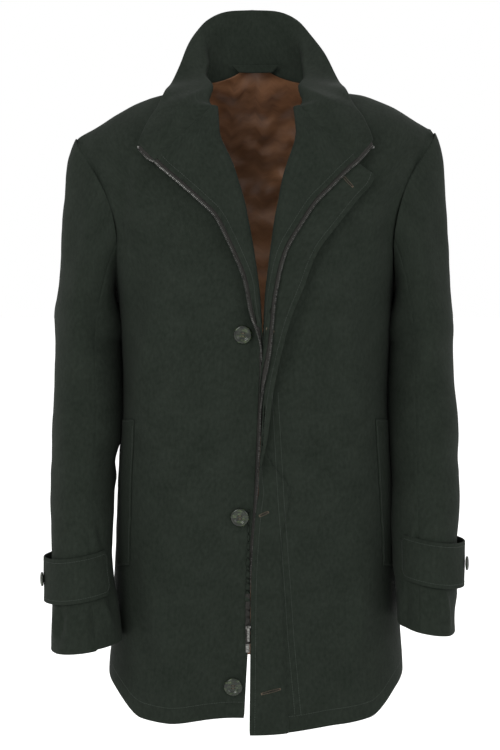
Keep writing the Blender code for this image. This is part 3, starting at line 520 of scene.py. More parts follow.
@dataclass(frozen=True)
class Waves:
    """Soft unevenness of hanging cloth, the same every run."""

    seed: int
    height: float
    shortest: float
    longest: float
    stretch: Triple = (1.0, 1.0, 1.0)
    count: int = 14

    def amount(self, points: Array) -> Array:
        """How far the cloth moves out at points in millimetres."""
        draw = np.random.default_rng(self.seed)
        total = np.zeros(points.shape[:-1])
        for _ in range(self.count):
            direction = draw.normal(size=3) * np.array(self.stretch)
            direction /= norm(direction)
            length = draw.uniform(self.shortest, self.longest)
            phase = draw.uniform(0, 2 * pi)
            total += np.sin(points @ direction * (2 * pi / length) + phase)
        return total * self.height / sqrt(self.count / 2)


@dataclass(frozen=True)
class Settling:
    """How the hung cloth settles, a few millimetres, from the even form of the solids."""

    shoulder_rise: float = 8.0
    collar_shift: float = -4.5
    head_ease: float = 6.0
    hem_rise: float = 20.0
    left_edge_shift: float = -4.5
    right_edge_shift: float = 1.5

    def apply(self, points: Array) -> Array:
        """The settled points, in millimetres."""
        x, z = points[..., 0], points[..., 2]
        out, sign = np.abs(x), np.sign(x)
        rise = self.shoulder_rise * smooth_steps(80, 200, x) * smooth_steps(-260, -120, z)
        rise = rise + self.hem_rise * smooth_steps(148, 190, out) * smooth_steps(-690, -790, z) * (out < 200)
        shift = self.collar_shift * smooth_steps(30, 80, z)
        head = smooth_steps(-310, -220, z) * smooth_steps(-84, -150, z) * smooth_steps(212, 245, out)
        shift = shift - sign * self.head_ease * head
        edge = smooth_steps(-500, -640, z) * smooth_steps(70, 10, out) * (points[..., 1] < 0)
        shift = shift + edge * np.where(x > -8.5, self.left_edge_shift, self.right_edge_shift)
        return points + np.stack([shift, np.zeros_like(x), rise], axis=-1)


SETTLING = Settling()


# ---------------------------------------------------------------- cloth

@dataclass
class ClothGrid:
    """A grid of points on a cloth piece's outer face, in millimetres."""

    points: Array
    flip: bool = False

    @classmethod
    def sample(cls, surface: Surface, columns: Sequence[float], rows: Sequence[float],
               flip: bool = False) -> "ClothGrid":
        """Reads a surface at columns and rows."""
        points = np.array([[surface(u, v) for u in columns] for v in rows])
        return cls(SETTLING.apply(points), flip)

    def eased(self, low: int, high: int, passes: int) -> "ClothGrid":
        """The grid with its rows between two indices smoothed up each inner column."""
        points = self.points.copy()
        rows, columns = points.shape[:2]
        place = np.arange(rows)
        weight = smooth_steps(low, low + 6, place) * smooth_steps(high, high - 6, place)
        edge = np.minimum(np.arange(columns), np.arange(columns)[::-1])
        weight = (weight[:, None] * smooth_steps(0, 5, edge)[None, :])[1:-1, :, None] * 0.5
        for _ in range(passes):
            mean = (points[:-2] + points[2:]) / 2
            points[1:-1] += (mean - points[1:-1]) * weight
        return ClothGrid(points, self.flip)

    def normals(self) -> Array:
        """Unit normals that point out of the coat."""
        along = np.gradient(self.points, axis=1)
        up = np.gradient(self.points, axis=0)
        normal = unit(np.cross(along, up))
        return -normal if self.flip else normal

    def moved(self, amount: float | Array) -> "ClothGrid":
        """The grid pushed out along its normals."""
        if np.ndim(amount) == 2:
            amount = amount[..., None]
        return ClothGrid(self.points + self.normals() * amount, self.flip)

    def other_face(self, wall: float) -> "ClothGrid":
        """The grid of the cloth's other face, pointing the other way."""
        return ClothGrid(self.points - self.normals() * wall, not self.flip)

    def extended(self, low_u: float = 0, high_u: float = 0, low_v: float = 0,
                 high_v: float = 0) -> "ClothGrid":
        """The grid with its edges carried on by lengths in millimetres."""
        points = self.points.copy()
        for axis, low, high in ((1, low_u, high_u), (0, low_v, high_v)):
            points = np.moveaxis(points, axis, 0)
            for length, edge, inner in ((low, 0, 1), (high, -1, -2)):
                if length:
                    new = (points[edge] + unit(points[edge] - points[inner]) * length)[None]
                    points = np.concatenate([new, points] if edge == 0 else [points, new])
            points = np.moveaxis(points, 0, axis)
        return ClothGrid(points, self.flip)

    def lengths(self) -> tuple[Array, Array]:
        """Distances walked across each row and up each column, in millimetres."""
        across = norm(np.diff(self.points, axis=1), axis=-1)
        up = norm(np.diff(self.points, axis=0), axis=-1)
        zero_column, zero_row = np.zeros((len(up) + 1, 1)), np.zeros((1, up.shape[1]))
        return (np.concatenate([zero_column, np.cumsum(across, axis=1)], axis=1),
                np.concatenate([zero_row, np.cumsum(up, axis=0)], axis=0))

    def area(self) -> float:
        """Area of the face in square millimetres."""
        rising = self.points[1:, 1:] - self.points[:-1, :-1]
        falling = self.points[1:, :-1] - self.points[:-1, 1:]
        return float(norm(np.cross(rising, falling), axis=-1).sum() / 2)

    def build(self, name: str, wall: float, rim_steps: int = 3) -> Piece:
        """A closed wall with rounded edges.

        Args:
            name: the piece's name, to which a word for cloth is added.
            wall: thickness in millimetres, inward from the grid.
            rim_steps: cells round each edge.

        Returns:
            The object, whose UV map holds metres of cloth.
        """
        rows, columns = self.points.shape[:2]
        normal = self.normals()
        inner = self.points - normal * wall
        across, up = self.lengths()
        across = across - across[:, columns // 2][:, None]
        ring = [(0, c) for c in range(columns)] + [(r, columns - 1) for r in range(1, rows)]
        ring += [(rows - 1, c) for c in range(columns - 2, -1, -1)]
        ring += [(r, 0) for r in range(rows - 2, 0, -1)]
        ring_rows, ring_columns = np.array(ring).T
        centre = (self.points + inner) / 2
        middle = centre[ring_rows, ring_columns]
        out = middle - centre[np.clip(ring_rows, 1, rows - 2), np.clip(ring_columns, 1, columns - 2)]
        edge_normal = normal[ring_rows, ring_columns]
        out = unit(out - edge_normal * (out * edge_normal).sum(axis=1, keepdims=True))
        rims = [middle + edge_normal * (wall / 2 * cos(turn)) + out * (wall / 2 * sin(turn))
                for turn in (pi * step / rim_steps for step in range(1, rim_steps))]
        coordinates = np.concatenate([self.points.reshape(-1, 3), inner.reshape(-1, 3), *rims]) * MM
        cell = rows * columns
        index = np.arange(cell).reshape(rows, columns)
        corners = [index[:-1, :-1], index[:-1, 1:], index[1:, 1:], index[1:, :-1]]
        quads = np.stack(corners, axis=-1).reshape(-1, 4)
        if self.flip:
            quads = quads[:, ::-1]
        flat_ring = index[ring_rows, ring_columns]
        loops = [flat_ring] + [2 * cell + i * len(ring) + np.arange(len(ring)) for i in range(len(rims))]
        loops.append(flat_ring + cell)
        rim_quads = []
        for first, second in zip(loops[:-1], loops[1:]):
            strip = np.stack([first, second, np.roll(second, -1), np.roll(first, -1)], axis=-1)
            rim_quads.append(strip[:, ::-1] if self.flip else strip)
        faces = np.concatenate([quads, quads[:, ::-1] + cell, *rim_quads])
        name = name + "_cloth"
        mesh = bpy.data.meshes.new(name)
        mesh.from_pydata(coordinates.tolist(), [], faces.tolist())
        cloth = np.stack([across, up], axis=-1).reshape(-1, 2) * MM
        edge_cloth = cloth[flat_ring]
        per_vertex = np.concatenate([cloth, cloth, *[edge_cloth] * len(rims)])
        layer = mesh.uv_layers.new(name="cloth")
        layer.data.foreach_set("uv", per_vertex[faces.reshape(-1)].reshape(-1))
        mesh.shade_smooth()
        return add_object(name, mesh)


# ---------------------------------------------------------------- dressing a piece

def add_object(name: str, data: bpy.types.ID) -> Piece:
    """Puts a mesh, a lamp or a camera into the scene."""
    obj = bpy.data.objects.new(name, data)
    bpy.context.scene.collection.objects.link(obj)
    return obj


def dress(obj: Piece, finish: Material, slot: str, *nodes: str) -> Piece:
    """Gives a piece its finish and its body, and hides the solids that it stands for.

    Args:
        obj: the piece.
        finish: its material.
        slot: not used.
        nodes: solids that it replaces.

    Returns:
        The piece.
    """
    if not obj.data.materials:
        obj.data.materials.append(finish)
    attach(obj, COAT_BODY)
    if nodes:
        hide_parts(*nodes)
    LOG.info("%s: %d faces", obj.name, len(obj.data.polygons))
    return obj


def declare_cloth(obj: Piece, grid: ClothGrid, held: Held) -> None:
    """States the cut of what shows of a cloth piece, rounded to millimetres.

    Args:
        obj: the finished piece.
        grid: the form that it was laid on; its own creases are left out.
        held: not used.
    """
    across, up = grid.lengths()
    width, length = float(across[:, -1].max()), float(up[-1].max())
    area = min(max(grid.area(), 0.3 * width * length), width * length)
    LOG.info("%s: cut %.0f by %.0f mm, %.4f square metres", obj.name, width, length, area * MM * MM)


def shell_piece(name: str, grid: ClothGrid, wall: float, finishes: "Finishes") -> Piece:
    """Builds and dresses a piece of shell cloth, named for the solid that it stands for."""
    return dress(grid.build(name, wall), finishes.shell, "shell_cloth", name)


# ---------------------------------------------------------------- shaders

class Sock:
    """A shader socket that takes part in Python expressions."""

    def __init__(self, finish: "Shader", link: bpy.types.NodeSocket) -> None:
        """Keeps the socket and the shader that it belongs to."""
        self.finish, self.link = finish, link

    def _math(self, operation: str, first: object, second: object) -> "Sock":
        """One Math node on two values or sockets."""
        return self.finish.node("ShaderNodeMath", {"operation": operation}, {0: first, 1: second})

    def __add__(self, other: object) -> "Sock":
        """The sum."""
        return self._math("ADD", self, other)

    def __sub__(self, other: object) -> "Sock":
        """The difference."""
        return self._math("SUBTRACT", self, other)

    def __rsub__(self, other: object) -> "Sock":
        """The difference the other way round."""
        return self._math("SUBTRACT", other, self)

    def __mul__(self, other: object) -> "Sock":
        """The product."""
        return self._math("MULTIPLY", self, other)

    __radd__ = __add__
    __rmul__ = __mul__


class Shader:
    """A material with one Principled shader and a method that adds any other node."""

    def __init__(self, name: str, **constants: object) -> None:
        """Makes the material and sets what is the same all over on the shader's own sockets."""
        self.material = bpy.data.materials.new(name)
        self.material.use_nodes = True
        self.tree = self.material.node_tree
        self.principled = self.tree.nodes["Principled BSDF"]
        for socket, value in constants.items():
            self.principled.inputs[socket.replace("_", " ")].default_value = value

    def node(self, kind: str, settings: dict | None = None, inputs: dict | None = None,
             output: int | str = 0) -> Sock:
        """Adds a node.

        Args:
            kind: the node's type.
            settings: its properties; "stops" are a ramp's places and colours.
            inputs: values or sockets by name or number.
            output: which output is wanted.

        Returns:
            That output.
        """
        node = self.tree.nodes.new(kind)
        for name, value in (settings or {}).items():
            if name == "stops":
                elements = node.color_ramp.elements
                while len(elements) < len(value):
                    elements.new(0.5)
                for element, (place, colour) in zip(elements, value):
                    element.position, element.color = place, (*colour, 1.0)
            else:
                setattr(node, name, value)
        for key, value in (inputs or {}).items():
            if isinstance(value, Sock):
                self.tree.links.new(value.link, node.inputs[key])
            else:
                node.inputs[key].default_value = value
        return Sock(self, node.outputs[output])

    def cloth_place(self) -> Sock:
        """Metres across and along the cloth."""
        return self.node("ShaderNodeUVMap", {"uv_map": "cloth"})

    def object_place(self) -> Sock:
        """Object coordinates in metres."""
        return self.node("ShaderNodeTexCoord", None, None, "Object")

    def axis(self, place: Sock, index: int) -> Sock:
        """One coordinate of a place."""
        return self.node("ShaderNodeSeparateXYZ", None, {0: place}, index)

    def noise(self, place: Sock, scale: float, detail: float = 2.0, stretch: tuple = (1, 1, 1)) -> Sock:
        """Noise around 0.5 at a place."""
        turned = self.node("ShaderNodeMapping", None, {"Vector": place, "Scale": stretch})
        return self.node("ShaderNodeTexNoise", None, {"Vector": turned, "Scale": scale, "Detail": detail})

    def ramp(self, value: Sock, *stops: tuple) -> Sock:
        """Colours by a value."""
        return self.node("ShaderNodeValToRGB", {"stops": stops}, {0: value})

    def feed(self, socket: str, value: Sock) -> None:
        """Links a varying value to the shader."""
        self.tree.links.new(value.link, self.principled.inputs[socket])

    def bump(self, height: Sock, strength: float, distance: float) -> None:
        """Turns a height into the shader's normal."""
        self.feed("Normal", self.node("ShaderNodeBump", None,
                                      {"Height": height, "Strength": strength, "Distance": distance}))


@dataclass(frozen=True)
class TwillFinish:
    """Fine worsted twill in two yarn colours, with the soft melange of the real cloth."""

    name: str
    dark: Triple
    light: Triple
    rib: float = 0.0013
    relief: float = 0.00016

    def build(self) -> Material:
        """The material."""
        shader = Shader(self.name, Roughness=0.88, Specular_IOR_Level=0.06, Sheen_Weight=0.01,
                        Sheen_Roughness=0.55)
        place = shader.cloth_place()
        phase = (shader.axis(place, 0) + shader.axis(place, 1)) * (2 * pi / self.rib)
        rib = shader.node("ShaderNodeMath", {"operation": "SINE"}, {0: phase})
        yarn = shader.noise(place, 900.0, 3.0, (1.0, 0.35, 1.0))
        fleck = shader.noise(place, 240.0, 4.0, (1.0, 0.6, 1.0))
        cloud = shader.noise(place, 24.0, 4.0)
        tone = rib * 0.05 + (yarn - 0.5) * 0.5 + (fleck - 0.5) * 0.8 + (cloud - 0.5) * 0.55 + 0.5
        shader.feed("Base Color", shader.ramp(tone, (0.1, self.dark), (0.9, self.light)))
        shader.bump(rib * 0.5 + yarn * 0.9 + fleck * 0.5, 0.45, self.relief)
        return shader.material


@dataclass(frozen=True)
class SatinFinish:
    """Brown satin with a soft gloss, and painted light and shade in its colour."""

    name: str
    dark: Triple
    light: Triple
    # The brightest colour: painted light on a band of the back lower down, where less daylight reaches it
    deep: Triple

    def build(self) -> Material:
        """The material."""
        shader = Shader(self.name, Specular_IOR_Level=0.30, Sheen_Weight=0.10, Sheen_Roughness=0.3)
        place = shader.cloth_place()
        cloud = shader.noise(place, 30.0, 3.0, (0.6, 1.5, 1.0))
        thread = shader.noise(place, 900.0, 2.0, (0.1, 1.0, 1.0))
        # Painted light: this ramp on height brightens a band across the back towards the brightest colour
        fall = shader.axis(shader.object_place(), 2) * -2.0
        black, white = (0.0, 0.0, 0.0), (1.0, 1.0, 1.0)
        lift = shader.ramp(fall, (0.10, black), (0.55, white), (0.78, white), (0.98, black))
        # Painted light and shade: the cloud's light and dark blotches stand in for the sheen and shade on
        # the puckers
        tone = cloud * 0.70 + thread * 0.10 + lift * 0.52
        colour = shader.ramp(tone, (0.24, self.dark), (0.62, self.light), (0.98, self.deep))
        shader.feed("Base Color", colour)
        shader.feed("Roughness", cloud * 0.12 + 0.33)
        shader.bump(thread * 0.3 + cloud * 0.9, 0.35, 0.0006)
        return shader.material


@dataclass(frozen=True)
class HornFinish:
    """Glossy mottled green horn."""

    name: str
    dark: Triple = (0.002, 0.0035, 0.002)
    middle: Triple = (0.009, 0.015, 0.006)
    light: Triple = (0.055, 0.075, 0.03)

    def build(self) -> Material:
        """The material."""
        shader = Shader(self.name, Specular_IOR_Level=0.3, Coat_Weight=0.16, Coat_Roughness=0.08)
        place = shader.object_place()
        cloud = shader.noise(place, 140.0, 4.0, (1.0, 1.0, 2.2))
        vein = shader.noise(place, 420.0, 3.0, (1.0, 1.0, 3.0))
        stops = ((0.38, self.dark), (0.54, self.middle), (0.68, self.light))
        shader.feed("Base Color", shader.ramp(cloud * 0.7 + vein * 0.3, *stops))
        shader.feed("Roughness", vein * 0.2 + 0.12)
        return shader.material


@dataclass(frozen=True)
class ThreadFinish:
    """Sewing thread, or a woven ribbon, in one yarn colour with uneven tone; near black, it is also the
    painted shade in the buttonhole slits.
    """

    name: str
    dark: Triple
    light: Triple
    roughness: float = 0.6

    def build(self) -> Material:
        """The material."""
        shader = Shader(self.name, Roughness=self.roughness, Specular_IOR_Level=0.35)
        strand = shader.noise(shader.object_place(), 1600.0, 2.0, (1.0, 1.0, 0.3))
        shader.feed("Base Color", shader.ramp(strand, (0.3, self.dark), (0.7, self.light)))
        shader.bump(strand, 0.3, 0.0002)
        return shader.material


@dataclass(frozen=True)
class MetalFinish:
    """Darkened zip metal with worn bright places."""

    name: str
    dark: float
    light: float

    def build(self) -> Material:
        """The material."""
        shader = Shader(self.name, Metallic=1.0)
        wear = shader.noise(shader.object_place(), 500.0, 4.0)
        grey = [(value, value, value * 0.94) for value in (self.dark, self.light)]
        shader.feed("Base Color", shader.ramp(wear, (0.35, grey[0]), (0.65, grey[1])))
        shader.feed("Roughness", wear * 0.25 + 0.22)
        return shader.material


# ---------------------------------------------------------------- stitches and teeth

class RepeatShape(Enum):
    """What a repeat tree sets at each place."""

    THREAD = "thread"
    BLOCK = "block"


def repeat_tree(name: str, shape: RepeatShape, finish: Material) -> bpy.types.GeometryNodeTree:
    """A Geometry Nodes tree that sets a small shape on each point, turned by its attributes.

    Args:
        name: the tree's name.
        shape: thread or block.
        finish: the material.

    Returns:
        The tree, with inputs Length, Width and Height in metres.
    """
    tree = bpy.data.node_groups.new(name, "GeometryNodeTree")
    face = tree.interface
    face.new_socket("Geometry", in_out="INPUT", socket_type="NodeSocketGeometry")
    for size in ("Length", "Width", "Height"):
        face.new_socket(size, in_out="INPUT", socket_type="NodeSocketFloat")
    face.new_socket("Geometry", in_out="OUTPUT", socket_type="NodeSocketGeometry")
    start, end = tree.nodes.new("NodeGroupInput"), tree.nodes.new("NodeGroupOutput")
    link = tree.links.new
    turns = []
    for attribute, axis, pivot in (("along", "X", "AUTO"), ("out", "Z", "X")):
        read = tree.nodes.new("GeometryNodeInputNamedAttribute")
        read.data_type = "FLOAT_VECTOR"
        read.inputs["Name"].default_value = attribute
        turn = tree.nodes.new("FunctionNodeAlignRotationToVector")
        turn.axis, turn.pivot_axis = axis, pivot
        link(read.outputs["Attribute"], turn.inputs["Vector"])
        turns.append(turn)
    link(turns[0].outputs[0], turns[1].inputs["Rotation"])
    size = tree.nodes.new("ShaderNodeCombineXYZ")
    for index in range(3):
        link(start.outputs[index + 1], size.inputs[index])
    if shape is RepeatShape.THREAD:
        body = tree.nodes.new("GeometryNodeMeshUVSphere")
        for key, value in (("Segments", 6), ("Rings", 4), ("Radius", 0.5)):
            body.inputs[key].default_value = value
    else:
        body = tree.nodes.new("GeometryNodeMeshCube")
        body.inputs["Size"].default_value = (1.0, 1.0, 1.0)
    place = tree.nodes.new("GeometryNodeInstanceOnPoints")
    real = tree.nodes.new("GeometryNodeRealizeInstances")
    paint = tree.nodes.new("GeometryNodeSetMaterial")
    paint.inputs["Material"].default_value = finish
    link(start.outputs[0], place.inputs["Points"])
    link(body.outputs[0], place.inputs["Instance"])
    link(turns[1].outputs[0], place.inputs["Rotation"])
    link(size.outputs[0], place.inputs["Scale"])
    link(place.outputs[0], real.inputs[0])
    link(real.outputs[0], paint.inputs["Geometry"])
    link(paint.outputs[0], end.inputs[0])
    return tree


@dataclass
class Repeats:
    """Places of small repeated shapes, gathered and then built as one mesh."""

    shape: RepeatShape = RepeatShape.THREAD
    places: list[tuple] = field(default_factory=list)

    def add(self, point: Array, along: Array, out: Array) -> None:
        """Adds one place in millimetres."""
        self.places.append((point, along, out))

    def add_line(self, points: Array, normals: Array, pitch: float, lift: float = 0.1,
                 gap: float = 8.0) -> None:
        """Walks a line and adds a place at every pitch.

        Args:
            points, normals: the line on the cloth, in millimetres.
            pitch: spacing.
            lift: how far off the cloth.
            gap: a longer jump than this between two points breaks the line.
        """
        steps = norm(np.diff(points, axis=0), axis=1)
        walked, target = 0.0, pitch / 2
        for index, length in enumerate(steps):
            if length > gap or length < 1e-6:
                walked, target = 0.0, pitch / 2
                continue
            direction = (points[index + 1] - points[index]) / length
            while target <= walked + length:
                part = (target - walked) / length
                normal = normals[index] * (1 - part) + normals[index + 1] * part
                self.add(points[index] + direction * (target - walked) + normal * lift, direction, normal)
                target += pitch
            walked += length

    def build(self, name: str, finish: Material, size: Triple) -> Piece:
        """Makes the mesh through the repeat tree.

        Args:
            name: the piece's name.
            finish: the material.
            size: length, width and height of each shape in millimetres.

        Returns:
            The piece as a plain mesh.
        """
        holder = bpy.data.meshes.new(name + "_places")
        points, *turns = (np.array(values, dtype=float) for values in zip(*self.places))
        holder.from_pydata((points * MM).tolist(), [], [])
        for attribute, values in zip(("along", "out"), turns):
            layer = holder.attributes.new(attribute, "FLOAT_VECTOR", "POINT")
            layer.data.foreach_set("vector", values.reshape(-1))
        source = add_object(name + "_places", holder)
        modifier = source.modifiers.new("repeat", "NODES")
        modifier.node_group = repeat_tree(name + "_tree", self.shape, finish)
        sizes = iter(size)
        for item in modifier.node_group.interface.items_tree:
            if item.in_out == "INPUT" and item.socket_type == "NodeSocketFloat":
                modifier[item.identifier] = next(sizes) * MM
        evaluated = source.evaluated_get(bpy.context.evaluated_depsgraph_get())
        mesh = bpy.data.meshes.new_from_object(evaluated)
        mesh.name = name
        for attribute in ("along", "out"):
            if attribute in mesh.attributes:
                mesh.attributes.remove(mesh.attributes[attribute])
        obj = add_object(name, mesh)
        bpy.data.objects.remove(source, do_unlink=True)
        if self.shape is RepeatShape.THREAD:
            mesh.shade_smooth()
        return obj


def inset_line(grid: ClothGrid, edge: str, distance: float, low: float = 0.0,
               high: float = 1.0) -> tuple[Array, Array]:
    """A line on a cloth grid at a distance from one edge.

    Args:
        grid: the cloth.
        edge: low_u, high_u, low_v or high_v.
        distance: millimetres from the edge.
        low, high: shares of the line that are kept.

    Returns:
        Points and normals along the line.
    """
    points, normals = grid.points, grid.normals()
    across, up = grid.lengths()
    walked = across if edge.endswith("_u") else up.T
    if edge.endswith("_v"):
        points, normals = points.transpose(1, 0, 2), normals.transpose(1, 0, 2)
    if edge.startswith("high"):
        points, normals = points[:, ::-1], normals[:, ::-1]
        walked = (walked[:, -1:] - walked)[:, ::-1]
    line, line_normals = [], []
    for row in range(int(low * (len(points) - 1)), int(high * (len(points) - 1)) + 1):
        if walked[row, -1] < distance:
            continue
        line.append([np.interp(distance, walked[row], points[row, :, axis]) for axis in range(3)])
        line_normals.append([np.interp(distance, walked[row], normals[row, :, axis]) for axis in range(3)])
    return np.array(line), np.array(line_normals)


class SurfacePen:
    """Finds where pixels of the photograph fall on built pieces."""

    def __init__(self, pieces: Sequence[Piece]) -> None:
        """Reads the pieces' meshes."""
        vertices, faces = [], []
        for piece in pieces:
            start = len(vertices)
            vertices += [vertex.co.copy() for vertex in piece.data.vertices]
            faces += [[start + index for index in face.vertices] for face in piece.data.polygons]
        self.tree = BVHTree.FromPolygons(vertices, faces)

    def hit(self, column: float, row: float) -> tuple[Array, Array] | None:
        """The point in millimetres and the normal under a pixel."""
        place, normal, _, _ = self.tree.ray_cast(*PHOTO.ray(column, row))
        if place is None:
            return None
        return np.array(place) / MM, np.array(normal)

    def line(self, path: Path2, step: float = 0.7) -> tuple[Array, Array]:
        """The points and normals under a path of pixels."""
        points, normals = [], []
        for (column, row), end in zip(path[:-1], path[1:]):
            right, down = end[0] - column, end[1] - row
            count = max(int(hypot(right, down) / step), 1)
            for index in range(count):
                found = self.hit(column + right * (index / count), row + down * (index / count))
                if found:
                    points.append(found[0])
                    normals.append(found[1])
        return np.array(points), np.array(normals)


# ---------------------------------------------------------------- the coat

@dataclass(frozen=True)
class Finishes:
    """The materials of the whole coat."""

    shell: Material
    satin: Material
    horn: Material
    thread: Material
    buttonhole: Material
    # Painted shade inside the buttonhole slits
    slit: Material
    ribbon: Material
    metal: Material
    teeth: Material

    @classmethod
    def make(cls) -> "Finishes":
        """Builds every material once."""
        return cls(
            shell=TwillFinish("shell_twill", (0.0066, 0.0096, 0.0066), (0.0187, 0.0238, 0.0185)).build(),
            # The satin's colours hold painted light and shade; its third colour is painted light lower down
            satin=SatinFinish("brown_satin", (0.074, 0.031, 0.014), (0.250, 0.122, 0.062),
                              (0.60, 0.30, 0.15)).build(),
            horn=HornFinish("green_horn").build(),
            thread=ThreadFinish("seam_thread", (0.010, 0.014, 0.011), (0.042, 0.052, 0.042)).build(),
            buttonhole=ThreadFinish("buttonhole_thread", (0.040, 0.030, 0.018),
                                    (0.105, 0.080, 0.052)).build(),
            # Painted shade: near-black marks for the buttonhole slits
            slit=ThreadFinish("slit_shadow", (0.002, 0.002, 0.002), (0.005, 0.005, 0.005), 0.9).build(),
            ribbon=ThreadFinish("zip_ribbon_weave", (0.006, 0.006, 0.005), (0.018, 0.017, 0.014),
                                0.9).build(),
            metal=MetalFinish("zip_metal_worn", 0.05, 0.22).build(),
            teeth=MetalFinish("zip_teeth_dark", 0.012, 0.11).build())


@dataclass(frozen=True)
class BodyRelief:
    """Folds of the body: those the photograph shows, and like ones on the hidden sides."""

    # Paths in the photograph's pixels; depth in millimetres and width in pixels
    front: tuple[Crease, ...] = creases(
        ((128, 150), (125, 190), (117, 240), 3.0, 7.0, 0.7),
        ((146, 250), (131, 345), (125, 405), 2.4, 9.0, 0.6),
        ((395, 178), (389, 235), (392, 300), 2.6, 9.0, 0.7, -1.0),
        ((352, 260), (372, 345), (384, 410), 1.8, 11.0, 0.6, -1.0),
        ((314, 283), (292, 338), (283, 385), 3.4, 6.0, 0.5),
        ((131, 562), (136, 600), (150, 660), 2.4, 8.0, 0.6),
        ((382, 556), (377, 610), (366, 680), 2.2, 9.0, 0.6, -1.0),
        ((196, 470), (190, 590), (196, 700), 2.0, 15.0, 0.7),
        ((336, 480), (344, 600), (338, 705), 2.0, 15.0, 0.7),
        ((222, 300), (212, 350), (210, 420), 1.5, 10.0, 0.6))
    # The same across the back, in millimetres of x and -z
    back: tuple[Crease, ...] = creases(
        ((-150, 120), (-120, 220), (-118, 330), 3.6, 14.0, 0.6),
        ((148, 130), (122, 225), (112, 340), 3.2, 15.0, 0.6, -1.0),
        ((-64, 60), (-50, 160), (-62, 280), 1.8, 20.0, 0.6),
        ((70, 380), (60, 560), (76, 770), 2.6, 22.0, 0.7),
        ((-90, 400), (-82, 600), (-94, 780), 2.8, 24.0, 0.7),
        ((-30, 430), (8, 470), (60, 485), 1.6, 13.0, 0.6))
    waves: Waves = Waves(seed=11, height=0.7, shortest=90, longest=260, stretch=(1.0, 1.0, 0.5))
    ripple: Waves = Waves(seed=12, height=0.16, shortest=22, longest=50, stretch=(1.0, 1.0, 0.6))

    def amount(self, points: Array) -> Array:
        """How far the cloth moves out at points in millimetres."""
        columns, rows = PHOTO.pixels(points)
        front = smooth_steps(20.0, -10.0, points[..., 1])
        total = self.waves.amount(points) + self.ripple.amount(points)
        for crease in self.front:
            total = total + crease.amount(columns, rows) * front
        for crease in self.back:
            total = total + crease.amount(points[..., 0], -points[..., 2]) * (1 - front)
        return total


@dataclass(frozen=True)
class LiningRelief:
    """The satin's puckers and the pleat that wanders down its middle."""

    puckers: Waves = Waves(seed=31, height=2.3, shortest=26, longest=70, stretch=(0.35, 0.2, 1.0))
    fine: Waves = Waves(seed=32, height=0.5, shortest=12, longest=26, stretch=(0.8, 0.2, 1.0))
    # Height, place across and width of the pleat's trough and of the ridge beside it
    pleat: tuple = ((-3.2, -2.0, 2.6), (2.0, -9.0, 4.5))
    lift: float = 3.6
    highest: float = 9.0
    fade_row: float = 0.93

    def amount(self, points: Array, rows: Array) -> Array:
        """How far the satin stands in from the back, nothing at the top row."""
        across, height = points[..., 0], points[..., 2]
        wander = 3.0 * np.sin(height / 42.0) + 2.0 * np.sin(height / 19.0 + 1.0)
        relief = self.puckers.amount(points) + self.fine.amount(points)
        for tall, place, width in self.pleat:
            relief = relief + tall * np.exp(-((across - place - wander) / width) ** 2)
        top = smooth_steps(1.0, self.fade_row, rows)[:, None]
        return np.clip(relief + self.lift, 0.0, self.highest) * top


